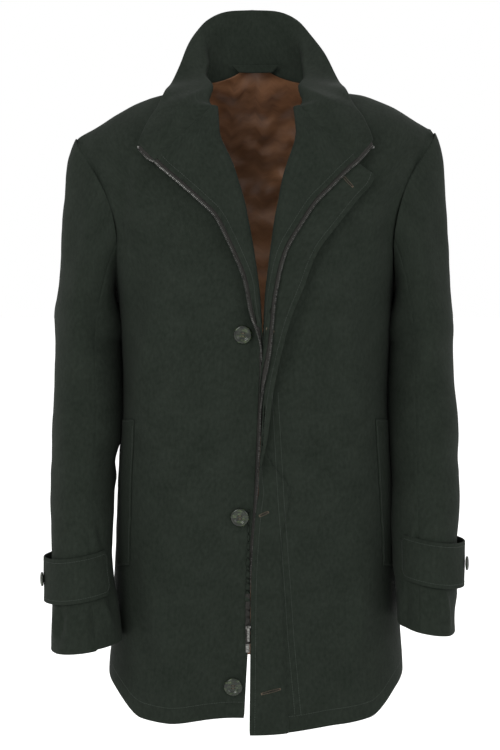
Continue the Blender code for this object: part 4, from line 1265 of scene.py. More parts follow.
@dataclass
class Body:
    """The fronts with their turned leaves, the fly, the back, its lining, the welts and the neck tab."""

    form: CoatForm
    finishes: Finishes
    relief: BodyRelief = field(default_factory=BodyRelief)
    lining_relief: LiningRelief = field(default_factory=LiningRelief)
    torso_share: float = 0.5
    edge_strip: float = 14.0
    facing_wall: float = 1.2
    fly_wall: float = 1.6
    fly_inboard: float = 24.0
    fly_clear: float = 2.0
    hem_turning: float = 20.0
    # The share of the fly that rises from its seam, and how deep its edge is sunk there
    fly_seam_share: float = 0.09
    fly_sink: float = 0.5
    fly_top_row: float = 0.99
    facing_low_z: float = -535.0
    facing_tuck: float = 1.6
    seam_tuck: float = 0.3
    lining_gap: float = 1.4
    lining_wall: float = 1.0
    welt_proud: float = 1.7
    welt_wall: float = 1.4
    tab_wall: float = 1.5
    tape_start: float = 1.4
    tape_width: float = 4.8
    # Cells of the grids
    row_count: int = 140
    shoulder_count: int = 18
    torso_columns: int = 48
    roll_columns: int = 18
    leaf_columns: int = 18
    fly_columns: int = 28
    back_columns: int = 92
    facing_overlap: int = 8
    lining_trim: int = 5
    grids: dict[str, ClothGrid] = field(default_factory=dict)
    cuts: dict[str, ClothGrid] = field(default_factory=dict)
    pieces: dict[str, Piece] = field(default_factory=dict)

    def rows(self, low: float = 0.0) -> list[float]:
        """Even rows from the hem, or from a row above it, to the neck and shoulder seam."""
        tip = self.form.tip_row
        count = round(self.row_count * (tip - low) / tip)
        return ([low + (tip - low) * part for part in stations(count)]
                + [tip + (1 - tip) * part for part in stations(self.shoulder_count)[1:]])

    def past_of(self, edge: float, part: float) -> float:
        """Distance past the roll of a place between the torso's inner end (0) and the edge (1)."""
        start = min(0.0, edge - self.edge_strip)
        middle = min(start + (edge - start) / 2, self.form.roll_arc)
        if part < 0.5:
            return start + (middle - start) * part / 0.5
        return middle + (edge - middle) * (part - 0.5) / 0.5

    def front_surface(self, side: Side) -> Surface:
        """The outer face of a front: u from the side seam to the zip edge, v from the hem up."""
        form, edges = self.form, {}

        def surface(u: float, v: float) -> Vector:
            """A point of the front."""
            if v not in edges:
                edges[v] = form.edge_distance(side, v)
            edge = edges[v]
            if u <= self.torso_share:
                inner = form.outward_of(side, min(0.0, edge - self.edge_strip), v)
                share = 1.0 + (inner - 1.0) * u / self.torso_share
                point = form.torso_point(side, share, v)
                plain = smooth_step(0.6, 1.0, u / self.torso_share)
                point = point.lerp(form.torso_point(side, share, v, True), plain)
                point.x *= side.value
                return point
            part = (u - self.torso_share) / (1 - self.torso_share)
            return form.cloth_point(side, self.past_of(edge, part), v)

        return surface

    def fly_surface(self, u: float, v: float) -> Vector:
        """The fly's under face: u from its stitched edge to its free edge."""
        form = self.form
        zip_edge = form.edge_distance(Side.LEFT, v)
        free_edge = form.edge_distance(Side.LEFT, v, fly=True)
        start = zip_edge - self.fly_inboard
        fold = form.edge_row(Side.LEFT, form.row_height(v))[1]
        clear = max(min(form.roll_arc + self.fly_clear, zip_edge) - start, 0.0)
        start += clear * smooth_step(radians(80), radians(140), fold)
        return form.cloth_point(Side.LEFT, start + (free_edge - start) * u, v)

    def back_surface(self, u: float, v: float) -> Vector:
        """The outer face of the back: u from the wearer's left to the right."""
        form, across = self.form, 2 * u - 1
        side, outward = (-1.0 if across > 0 else 1.0), abs(2 * u - 1)
        z = form.row_height(v)
        angle = 180.0 - 90.0 * outward + (form.side_angle(z, False) - 90.0) * outward ** 2.5
        x, y = form.around_point(angle, z)
        if v <= form.tip_row:
            return Vector((x * side, y, z + form.hem_shift(Side.LEFT, 0.0, v)))
        point = form.shoulder_point((x, y), form.top_boundary(outward, False), v, 1)
        point.x *= side
        return point

    def front_columns(self) -> list[float]:
        """Columns over the torso, round the roll and over the leaf."""
        torso = [self.torso_share * part for part in stations(self.torso_columns)]
        roll = [self.torso_share + 0.25 * part for part in stations(self.roll_columns)[1:]]
        return torso + roll + [0.75 + 0.25 * part for part in stations(self.leaf_columns)[1:]]

    def leaf_fade(self, grid: ClothGrid) -> Array:
        """1 on the torso and little on the roll and the leaf, for the relief."""
        columns = np.arange(grid.points.shape[1])
        torso = self.torso_columns
        return (1 - 0.85 * smooth_steps(torso - 4, torso + 5, columns))[None, :]

    def eased_shoulder(self, grid: ClothGrid, whole: bool = False) -> ClothGrid:
        """The grid with a soft turn onto the shoulder; its armhole edge is kept, or both if whole."""
        tip = grid.points.shape[0] - 1 - self.shoulder_count
        smooth = grid.eased(tip - 16, tip + 14, 60)
        kept = smooth_steps(6, 0, np.arange(grid.points.shape[1]))
        if whole:
            kept = np.maximum(kept, kept[::-1])
        return ClothGrid(smooth.points + (grid.points - smooth.points) * kept[None, :, None], grid.flip)

    def build_front(self, side: Side) -> None:
        """One front and the facing of its turned leaf."""
        name, flip = "front_" + side.word, side is Side.LEFT
        base = ClothGrid.sample(self.front_surface(side), self.front_columns(), self.rows(), flip)
        base = self.eased_shoulder(base)
        grid = base.moved(self.relief.amount(base.points) * self.leaf_fade(base))
        self.grids[name] = grid
        grid = grid.extended(low_u=self.seam_tuck, high_v=2 * self.seam_tuck)
        self.pieces[name] = shell_piece(name, grid, self.form.shell_wall, self.finishes)
        self.cuts[name] = base
        self.build_facing(side)

    def build_facing(self, side: Side) -> None:
        """The face of a front's turned leaf."""
        name, flip = "facing_" + side.word, side is Side.LEFT
        rows = self.rows(self.form.row_of(self.facing_low_z))
        columns = self.front_columns()[self.torso_columns - self.facing_overlap:]
        facing = ClothGrid.sample(self.front_surface(side), columns, rows, flip)
        inner = self.form.shell_wall + self.form.layer_gap + self.facing_wall
        facing = facing.other_face(inner)
        ripple = 0.25 * self.relief.ripple.amount(facing.points)
        facing = facing.moved(ripple).extended(high_v=self.facing_tuck)
        self.grids[name] = facing
        self.pieces[name] = shell_piece(name, facing, self.facing_wall, self.finishes)
        declare_cloth(self.pieces[name], facing, Held.FOLDED)

    def build_fly(self) -> None:
        """The over-leaf that covers the zip on the wearer's left."""
        name, columns = "fly_placket", stations(self.fly_columns)
        rows = [v for v in self.rows() if v < self.fly_top_row] + [self.fly_top_row]
        base = ClothGrid.sample(self.fly_surface, columns, rows, True)
        seam = smooth_steps(0.0, self.fly_seam_share, np.array(columns))[None, :]
        lift = self.form.layer_gap * 2 + self.fly_wall
        base = base.moved((lift + self.fly_sink) * seam - self.fly_sink)
        creases = self.relief.amount(base.points) * 0.15
        grid = base.moved(creases + self.relief.ripple.amount(base.points) * 0.5)
        self.grids[name] = grid
        self.pieces[name] = shell_piece(name, grid, self.fly_wall, self.finishes)
        declare_cloth(self.pieces[name], base, Held.FOLDED)

    def build_back(self) -> None:
        """The back and the satin inside it."""
        columns = stations(self.back_columns)
        base = self.eased_shoulder(ClothGrid.sample(self.back_surface, columns, self.rows()), True)
        grid = base.moved(self.relief.amount(base.points))
        self.grids["back"] = grid
        edged = grid.extended(self.seam_tuck, self.seam_tuck, 0, 2 * self.seam_tuck)
        declare_cloth(shell_piece("back", edged, self.form.shell_wall, self.finishes), base, Held.HUNG)
        self.build_lining(grid)

    def build_lining(self, back: ClothGrid) -> None:
        """The satin inside the back, a little narrower, with its pleat and its puckers."""
        inner = back.moved(-self.form.shell_wall - self.form.layer_gap - self.lining_gap)
        inner = ClothGrid(inner.points[:, self.lining_trim:-self.lining_trim], True)
        lining = inner.moved(self.lining_relief.amount(inner.points, np.array(self.rows())))
        name = "back_lining"
        self.pieces[name] = dress(lining.build(name, self.lining_wall), self.finishes.satin, "satin", name)
        self.cuts[name] = inner

    def build_welt(self, side: Side) -> None:
        """The welt of a side pocket, on the front panel beside the side seam."""
        low_z, high_z, slant = -617.0, -428.0, 5.0
        front_angle, low_back_angle, high_back_angle = 57.5, 71.0, 75.0

        def surface(u: float, v: float) -> Vector:
            """A point of the welt's seat."""
            back_angle = low_back_angle + (high_back_angle - low_back_angle) * v
            angle = front_angle + (back_angle - front_angle) * u
            height = low_z + (high_z - low_z) * v + slant * (1 - u)
            x, y = self.form.around_point(angle, height)
            return Vector((x * side.value, y, height))

        name = "welt_" + side.word
        base = ClothGrid.sample(surface, stations(10), stations(80), side is Side.RIGHT)
        grid = base.moved(self.relief.amount(base.points) + self.welt_proud)
        self.grids[name] = grid
        piece = shell_piece(name, grid, self.welt_wall, self.finishes)
        declare_cloth(piece, base, Held.LAID)

    def build_neck_tab(self) -> None:
        """The small tab of shell cloth at the back of the neck, over the lining."""
        form, low_z, tall = self.form, 28.0, 9.0
        low_half, high_half, proud, lean = 22.0, 31.0, 9.0, 3.0

        def surface(u: float, v: float) -> Vector:
            """A point of the tab's face."""
            x = (2 * u - 1) * (low_half + (high_half - low_half) * v)
            y = form.neck_back_depth * sqrt(1 - (x / form.neck_half_width) ** 2)
            return Vector((x, y - proud - lean * (1 - v), low_z + tall * v))

        grid = ClothGrid.sample(surface, stations(20), stations(6), False)
        self.pieces["neck_tab"] = shell_piece("neck_tab", grid, self.tab_wall, self.finishes)

    def declare_joined(self, tapes: dict[Side, Piece]) -> None:
        for side in Side:
            name = "front_" + side.word
            declare_cloth(self.pieces[name], self.cuts[name], Held.HUNG)
        lining = self.pieces["back_lining"]
        declare_cloth(lining, self.cuts["back_lining"], Held.HUNG)

    def build(self) -> None:
        """Builds every piece of the body."""
        for side in Side:
            self.build_front(side)
            self.build_welt(side)
        self.build_fly()
        self.build_back()
        self.build_neck_tab()


@dataclass
class Collar:
    """The collar in one strip, standing at the back and turned over at the sides."""

    form: CoatForm
    finishes: Finishes
    wall: float = 3.0
    neck_part: float = 0.70
    # How sharply it folds at its crest
    crispness: float = 0.5
    # How far its lower edge tucks into the neck, and the shares of its length where that ends
    neck_tuck: float = 2.4
    tuck_ends: Pair = (0.36, 0.60)
    columns: int = 170
    rows: int = 24
    waves: Waves = Waves(seed=41, height=0.35, shortest=40, longest=120)
    # Along it from the centre back, then the crest and the free edge
    controls: tuple = (
        (0.00, 0, 78, 78, 0, 84, 112), (0.14, 37, 72, 75, 36, 80, 109), (0.26, 59, 56, 65, 60, 74, 97),
        (0.36, 65, 38, 52, 74, 60, 80), (0.46, 64, 16, 36, 89, 38, 54), (0.56, 65, -12, 16, 107, 0, 10),
        (0.64, 59, -44, 0, 115, -42, -6), (0.70, 86, -74, -16, 122, -64, -25),
        (0.78, 96, -88, -32, 132, -77, -41), (0.88, 116, -102, -58, 140, -87, -58),
        (1.00, 135, -105, -85, 146, -94, -74))

    def seam(self, s: float) -> Vector:
        """The seam along the neck (0 at the centre back), round the roll and down the gorge (1)."""
        form = self.form
        if s < self.neck_part:
            x, y = form.neck_plan(90.0 + (form.roll_angle - 90.0) * s / self.neck_part)
            return Vector((x, y, form.form_top_z(x, y)))
        past = form.edge_distance(Side.LEFT, 1.0) * (s - self.neck_part) / (1 - self.neck_part)
        return form.turned_point(Side.LEFT, past, 1.0)

    def surface(self, u: float, v: float, gorge_gap: float = 1.2) -> Vector:
        """The outer face: u from the right tip to the left tip, v from the seam to the free edge."""
        s = abs(2 * u - 1)
        values = interpolate(self.controls, s)
        crest, edge = Vector(values[:3]), Vector(values[3:])
        seam = self.seam(s)
        gap = -self.neck_tuck + (gorge_gap + self.neck_tuck) * smooth_step(*self.tuck_ends, s)
        seam = seam + (crest - seam).normalized() * gap
        point = (seam * (2 * (v - 0.5) * (v - 1)) + crest * (4 * v * (1 - v)) + edge * (2 * v * (v - 0.5)))
        folded = seam.lerp(crest, 2 * v) if v < 0.5 else crest.lerp(edge, 2 * v - 1)
        point = point.lerp(folded, self.crispness)
        point.x *= -1.0 if u < 0.5 else 1.0
        return point

    def build(self) -> None:
        """Builds the collar."""
        base = ClothGrid.sample(self.surface, stations(self.columns), stations(self.rows), True)
        piece = shell_piece("collar", base.moved(self.waves.amount(base.points)), self.wall, self.finishes)
        declare_cloth(piece, base, Held.FOLDED)


@dataclass(frozen=True, eq=False)
class SleeveShape:
    """What differs between the two sleeves."""

    # Height, centre x and y, half width and half depth
    rings: tuple
    # Folds in the photograph's pixels
    creases: tuple[Crease, ...]
    # Heights of the strap's middle, of the cuff over the first ring and of the lowest touch on the body
    strap_z: float
    cuff_rise: float
    touch_low: float
    seed: int


SLEEVE_SHAPES = {
    Side.RIGHT: SleeveShape(
        rings=((-716, 217, -98, 45, 56), (-680, 219, -90, 42, 54), (-640, 222, -80, 38, 54),
               (-600, 225, -68, 37, 56), (-560, 225.5, -58, 38, 58), (-502, 225, -42, 40, 60),
               (-438, 222.5, -28, 42.5, 64), (-378, 222, -20, 41, 68), (-325, 222, -16, 38, 71)),
        creases=creases(
            ((90, 520), (94, 538), (97, 552), 2.2, 2.6, 0.8),
            ((101, 598), (106, 612), (112, 630), 3.0, 3.2, 0.8),
            ((58, 607), (57, 622), (55, 640), 3.6, 3.0, 0.9),
            ((84, 603), (86, 622), (88, 640), 2.2, 4.0, 0.8),
            ((58, 300), (84, 330), (100, 372), 1.4, 8.0, 0.6),
            ((60, 420), (86, 446), (106, 480), 1.3, 8.0, 0.6),
            ((96, 205), (80, 300), (78, 420), 1.8, 10.0, 0.6)),
        strap_z=-622.0, cuff_rise=5.0, touch_low=-440.0, seed=51),
    Side.LEFT: SleeveShape(
        rings=((-700, 219.5, -98, 35.5, 56), (-665, 220, -90, 35.5, 54), (-628, 221, -80, 36, 54),
               (-590, 221.5, -68, 37, 56), (-560, 222, -60, 38, 58), (-502, 223.5, -42, 40, 60),
               (-438, 222.5, -28, 41, 64), (-378, 221, -20, 40, 68), (-325, 221, -16, 37.5, 71)),
        creases=creases(
            ((416, 520), (414, 533), (411, 545), 1.8, 2.8, 0.8),
            ((404, 584), (403, 600), (402, 628), 2.2, 3.0, 0.8),
            ((444, 592), (446, 606), (448, 630), 2.6, 3.2, 0.8),
            ((424, 590), (424, 606), (421, 626), 1.8, 4.0, 0.8),
            ((450, 330), (428, 352), (408, 388), 1.4, 8.0, 0.6),
            ((452, 440), (430, 462), (410, 498), 1.2, 8.0, 0.6),
            ((410, 205), (424, 300), (430, 420), 1.8, 10.0, 0.6)),
        strap_z=-602.0, cuff_rise=12.0, touch_low=-620.0, seed=52)}


@dataclass
class Sleeve:
    """One sleeve in its top and under pieces, with its cuff strap."""

    side: Side
    form: CoatForm
    finishes: Finishes
    ring_share: float = 0.62
    cuff_tilt: float = 6.0
    # How far the inner side leans on to the body
    body_touch: float = 6.0
    inner_lean: float = 44.0
    head_tuck: float = 1.6
    split_front: float = 110.9
    split_back: float = 89.0
    strap_width: float = 54.0
    strap_wall: float = 2.2
    strap_start: float = 148.0
    strap_end: float = -62.0
    # Millimetres, and degrees round the sleeve
    strap_off: float = 3.4
    strap_bulge: float = 7.0
    bulge_angle: float = 4.0
    bulge_spread: float = 30.0
    strap_tilt: float = 15.0
    strap_drop: float = 8.0
    point_length: float = 0.045
    point_taper: float = 0.34
    # Folds behind the arm: distance down, fall towards the back, depth
    rear_folds: tuple = ((250.0, 70.0, 2.2), (420.0, 40.0, 2.8), (470.0, 46.0, 2.4), (640.0, 18.0, 2.0))
    grids: dict[str, ClothGrid] = field(default_factory=dict)

    @property
    def shape(self) -> SleeveShape:
        """This side's own shape."""
        return SLEEVE_SHAPES[self.side]

    def ring_point(self, z: float, angle: float, front: bool, proud: float = 0.0) -> Vector:
        """A point of a ring: angle 0 outside, 180 against the body."""
        centre_x, centre_y, wide, deep = interpolate(self.shape.rings, z)
        turn = radians(angle)
        y = (deep + proud) * sin(turn)
        return Vector((centre_x + (wide + proud) * cos(turn), centre_y - (y if front else -y), z))

    def surface(self, angles: tuple[float, float]) -> Surface:
        """The outer face of a piece over signed angles, v from the cuff (0) to the armhole (1)."""
        form, shape = self.form, self.shape
        low_z, top_z = shape.rings[0][0] + shape.cuff_rise, shape.rings[-1][0]
        middle = (form.shoulder_tip_z + form.armpit_z) / 2
        half = (form.shoulder_tip_z - form.armpit_z) / 2

        def surface(u: float, v: float) -> Vector:
            """A point of the sleeve."""
            signed = (angles[0] + (angles[1] - angles[0]) * u + 180.0) % 360.0 - 180.0
            front, angle = signed >= 0, abs(signed)
            cosine = cos(radians(angle))
            if v <= self.ring_share:
                part = v / self.ring_share
                point = self.ring_point(low_z + (top_z - low_z) * part, angle, front)
                touch = smooth_step(shape.touch_low - 50, shape.touch_low, point.z) * max(-cosine, 0.0)
                point.x -= self.body_touch * touch
                point.z -= self.cuff_tilt * cosine * (1 - part)
            else:
                part = (v - self.ring_share) / (1 - self.ring_share)
                start = self.ring_point(top_z, angle, front)
                start.x -= self.body_touch * max(-cosine, 0.0)
                z = middle + half * cosine
                x, y = form.around_point(form.side_angle(z, front), z)
                end = Vector((x + 1.2 - 0.8 * cosine, y, z))
                outer, rise = 0.5 + 0.5 * cosine, end.z - start.z
                slope_start = Vector((-self.inner_lean * max(-cosine, 0.0), 6, rise))
                slope_end = Vector((-18 - 60 * outer, 8 if front else -8, 0.55 * rise + 10))
                point = hermite(start, end, slope_start, slope_end, part)
            point.x *= self.side.value
            return point

        return surface

    def relief(self, points: Array) -> Array:
        """How far the sleeve's cloth moves out: less under the strap, gathered beside it."""
        columns, rows = PHOTO.pixels(points)
        height = points[..., 2]
        heights, _, centres, _, _ = zip(*self.shape.rings)
        centre_y = np.interp(height, heights, centres)
        front = smooth_steps(25.0, -15.0, points[..., 1] - centre_y)
        total = Waves(self.shape.seed, 0.8, 60, 170, (1.0, 1.0, 0.6)).amount(points)
        total = total + Waves(self.shape.seed + 10, 0.15, 18, 40).amount(points)
        for crease in self.shape.creases:
            total = total + crease.amount(columns, rows) * front
        for base, drop, depth in self.rear_folds:
            rear = Crease(((-70, base), (-20, base + drop * 0.4), (45, base + drop)), depth, 11.0, 0.7)
            total = total + rear.amount(points[..., 1] - centre_y, -height) * (1 - front)
        under = np.exp(-((height - self.shape.strap_z) / (0.42 * self.strap_width)) ** 6)
        return np.where(under > 0.02, total * (1 - under) + under * np.minimum(total, 0.3) * 0.4, total)

    def build_panels(self) -> None:
        """The top sleeve and the under sleeve."""
        spans = {"top": (-self.split_back, self.split_front),
                 "under": (self.split_front, 360.0 - self.split_back)}
        flip = self.side is Side.RIGHT
        for kind, angles in spans.items():
            name = f"sleeve_{kind}_{self.side.word}"
            base = ClothGrid.sample(self.surface(angles), stations(46), stations(130), flip)
            grid = base.moved(self.relief(base.points))
            self.grids[name] = grid
            grid = grid.extended(high_v=self.head_tuck)
            declare_cloth(shell_piece(name, grid, self.form.shell_wall, self.finishes), base, Held.HUNG)

    def strap_surface(self, u: float, v: float) -> Vector:
        """The inner face of the strap: u from the under sleeve over the front to the back."""
        angle = self.strap_start + (self.strap_end - self.strap_start) * u
        point_share = 1.0 - self.point_taper * smooth_step(self.point_length, 0.0, u)
        z = self.shape.strap_z + self.strap_width * (v - 0.5) * point_share
        bulge = exp(-((angle - self.bulge_angle) / self.bulge_spread) ** 2)
        proud = self.strap_off + self.strap_bulge * bulge
        point = self.ring_point(z, abs(angle), angle >= 0, proud)
        point.z += self.strap_tilt * sin(radians(abs(angle)) * 0.5) ** 2 - self.strap_drop
        point.x *= self.side.value
        return point

    def build_strap(self) -> None:
        """The strap round the cuff."""
        name = "cuff_strap_" + self.side.word
        length = self.point_length
        columns = [0.0, 0.01, 0.02, 0.03] + [length + (1 - length) * part for part in stations(80)]
        base = ClothGrid.sample(self.strap_surface, columns, stations(16), self.side is Side.RIGHT)
        waves = Waves(61, 0.3, 30, 80).amount(base.points)
        grid = base.moved(self.strap_wall + waves)
        self.grids[name] = grid
        piece = shell_piece(name, grid, self.strap_wall, self.finishes)
        declare_cloth(piece, base, Held.LAID)

    def build(self) -> None:
        """Builds the sleeve and its strap."""
        self.build_panels()
        self.build_strap()


# ---------------------------------------------------------------- buttons, zip and sewing

@dataclass
class Buttons:
    """Four-hole horn buttons with the thread that holds them."""

    form: CoatForm
    finishes: Finishes
    radius: float = 11.5
    cuff_radius: float = 9.5
    # x and height of the buttons that show on the front
    front: tuple = (("front_button_2", -16.0, -311.0), ("front_button_3", -20.0, -540.0),
                    ("front_button_4", -28.5, -757.0))
    # Half outline as shares of the radius and millimetres of height, from the middle of the face
    outline: tuple = ((0.0, 1.9), (0.42, 1.9), (0.52, 2.1), (0.60, 2.9), (0.68, 3.5), (0.78, 3.75),
                      (0.88, 3.5), (0.96, 2.8), (1.0, 2.0), (0.98, 1.2), (0.90, 0.6), (0.6, 0.1), (0.0, 0.0))
    hole_spread: float = 1.75
    hole_radius: float = 0.85
    thread_rise: float = 2.15
    # How far the button's back stands off the cloth, in front and on a strap
    stand: float = 1.2
    strap_stand: float = 0.9
    top_inset: float = 24.0
    cuff_angle: float = 10.0

    def turned(self, radius: float) -> bpy.types.Mesh:
        """The button's disc with its four holes, facing +Z, in metres."""
        mesh = bpy.data.meshes.new("button_outline")
        points = [(share * radius * MM, 0.0, height * MM) for share, height in self.outline]
        mesh.from_pydata(points, [(i, i + 1) for i in range(len(points) - 1)], [])
        obj = add_object("button_outline", mesh)
        screw = obj.modifiers.new("turn", "SCREW")
        screw.steps = screw.render_steps = 40
        screw.use_merge_vertices = True
        screw.merge_threshold = 0.00001
        cutter = bmesh.new()
        for angle in (45, 135, 225, 315):
            made = bmesh.ops.create_cone(cutter, cap_ends=True, segments=12, radius1=self.hole_radius * MM,
                                         radius2=self.hole_radius * MM, depth=0.02)
            shift = Vector((cos(radians(angle)), sin(radians(angle)), 0))
            shift = shift * (self.hole_spread * sqrt(2) * MM)
            bmesh.ops.translate(cutter, vec=shift, verts=made["verts"])
        tool_mesh = bpy.data.meshes.new("button_holes")
        cutter.to_mesh(tool_mesh)
        cutter.free()
        tool = add_object("button_holes", tool_mesh)
        cut = obj.modifiers.new("holes", "BOOLEAN")
        cut.operation = "DIFFERENCE"
        cut.object = tool
        result = bpy.data.meshes.new_from_object(obj.evaluated_get(bpy.context.evaluated_depsgraph_get()))
        for used in (obj, tool):
            bpy.data.objects.remove(used, do_unlink=True)
        result.shade_smooth()
        result.set_sharp_from_angle(angle=radians(40))
        return result

    def place(self, name: str, radius: float, seat: Vector, normal: Vector, thread: Repeats) -> None:
        """Sets one button at its seat and sews it on."""
        mesh = self.turned(radius)
        turn = normal.to_track_quat("Z", "Y").to_matrix().to_4x4()
        turn.translation = seat * MM
        mesh.transform(turn)
        dress(add_object(name + "_horn", mesh), self.finishes.horn, "button", name)
        rotation = turn.to_3x3()
        across, up = rotation @ Vector((1, 0, 0)), rotation @ Vector((0, 1, 0))
        for shift in (-1, 1):
            for wander in (-0.35, 0.0, 0.35):
                rise = self.thread_rise - 0.25 * abs(wander)
                middle = seat + up * (shift * self.hole_spread + wander) + normal * rise
                thread.add(middle, across, normal)

    def build(self, cuffs: Sequence[Sleeve]) -> None:
        """Builds every button and the thread that holds them."""
        thread, form = Repeats(), self.form
        for name, x, z in self.front:
            step = 4.0
            here = Vector((x, form.form_y(x, z, True), z))
            across = Vector((x + step, form.form_y(x + step, z, True), z)) - here
            up = Vector((x, form.form_y(x, z + step, True), z + step)) - here
            normal = across.cross(up).normalized()
            self.place(name, self.radius, here + normal * self.stand, normal, thread)
        row = form.tip_row
        past = form.edge_distance(Side.RIGHT, row) - self.top_inset
        here = form.cloth_point(Side.RIGHT, past, row)
        normal = normal_of(partial(form.cloth_point, Side.RIGHT), past, row, 3.0, 0.01)
        self.place("front_button_1", self.radius, here + normal * self.stand, normal, thread)
        for sleeve in cuffs:
            place = (self.cuff_angle - sleeve.strap_start) / (sleeve.strap_end - sleeve.strap_start)
            here = sleeve.strap_surface(place, 0.5)
            normal = normal_of(sleeve.strap_surface, place, 0.5, 0.01, 0.1) * sleeve.side.value
            seat = here + normal * (sleeve.strap_wall + self.strap_stand)
            self.place("cuff_button_" + sleeve.side.word, self.cuff_radius, seat, normal, thread)
        length = 2 * self.hole_spread + 1.6
        piece = thread.build("button_thread", self.finishes.buttonhole, (length, 0.42, 0.5))
        dress(piece, self.finishes.buttonhole, "shell_cloth")


@dataclass(frozen=True)
class Buttonhole:
    """A keyhole buttonhole between two pixels of the photograph; the round eye is at the first."""

    eye: Pair
    tail: Pair
    half: float = 1.3

    def sew(self, pen: SurfacePen, ring: Repeats, slit: Repeats) -> None:
        """Adds its stitches and the near-black marks of painted shade in its slit."""
        points, normals = pen.line((self.eye, self.tail), 0.25)
        if len(points) < 3:
            LOG.warning("a buttonhole found no cloth")
            return
        along = points[-1] - points[0]
        length = float(norm(along))
        along /= length
        out = normals.mean(axis=0)
        out /= norm(out)
        across = np.cross(out, along)
        middle = points.mean(axis=0) + out * 0.25
        count = int((2 * length + 8 * self.half) / 0.5)
        for index in range(count):
            turn = 2 * pi * index / count
            cosine, sine = cos(turn), sin(turn)
            run = copysign(min(abs(cosine) * 1.35, 1.0), cosine) * length / 2
            eye = 1.0 + 0.75 * smooth_step(-0.60, -0.95, cosine)
            place = middle + along * run + across * (self.half * eye * sine)
            facing = along * (cosine if abs(cosine) > 0.74 else 0.0) + across * sine
            ring.add(place, facing / max(norm(facing), 1e-6), out)
        # Painted shade: near-black marks sunk along the slit
        for index in range(int(length / 1.2)):
            slit.add(middle + along * ((index + 0.5) * 1.2 - length / 2) - out * 0.15, along, out)


@dataclass
class Zip:
    """The zip's two tapes with their teeth; its metal parts are the solids themselves."""

    form: CoatForm
    finishes: Finishes
    body: Body
    collar: Collar
    low_row: float = 0.1057
    split: float = 0.8
    top: float = 0.92
    tooth_pitch: float = 2.2
    tooth_size: Triple = (1.1, 2.2, 1.9)
    # How far the tape lies off the collar's end, and beyond it
    tip_gap: float = 3.8
    tip_clear: float = 1.6

    def tape_surface(self, side: Side) -> Surface:
        """A tape: u across it from the cloth's edge, v from its low end to the collar's tip."""
        form, body, distances = self.form, self.body, {}

        def surface(u: float, v: float) -> Vector:
            """A point of the tape."""
            beyond = body.tape_start + (body.tape_width - body.tape_start) * u
            if v <= self.split:
                row = self.low_row + (1.0 - self.low_row) * v / self.split
                if row not in distances:
                    distances[row] = form.edge_distance(side, row)
                return form.cloth_point(side, distances[row] + beyond, row)
            rise = (v - self.split) / (1 - self.split)
            tip = self.collar.surface(0.5 + 0.5 * side.value, rise, self.tip_gap)
            away = (tip - self.collar.surface(0.5 + 0.49 * side.value, rise, self.tip_gap)).normalized()
            start = form.cloth_point(side, form.edge_distance(side, 1.0) + beyond, 1.0)
            return start.lerp(tip + away * (beyond + self.tip_clear), smooth_step(0.0, 0.3, rise))

        return surface

    def build(self) -> dict[Side, Piece]:
        """Builds the tapes, given back by side, and their teeth."""
        tapes, teeth = {}, Repeats(RepeatShape.BLOCK)
        rows = [self.split * part for part in stations(180)]
        rows += [self.split + (1 - self.split) * self.top * part for part in stations(20)[1:]]
        for side in Side:
            name = "zip_tape_" + side.word
            surface = self.tape_surface(side)
            columns = [1.5 * part - 0.6 for part in stations(8)]
            grid = ClothGrid.sample(surface, columns, rows, side is Side.LEFT).moved(-0.5)
            ridge = 0.5 * np.cos(np.linspace(0, 4 * pi, grid.points.shape[1]))[None, :]
            piece = grid.moved(-0.2 - ridge * 0.5).build(name, 1.0)
            tapes[side] = dress(piece, self.finishes.ribbon, "zip_ribbon", name)
            line, normals = inset_line(grid, "high_u", 0.0)
            teeth.add_line(line - normals * 0.6, normals, self.tooth_pitch, 0.0)
        piece = teeth.build("zip_teeth", self.finishes.teeth, self.tooth_size)
        dress(piece, self.finishes.teeth, "zip_metal")
        return tapes


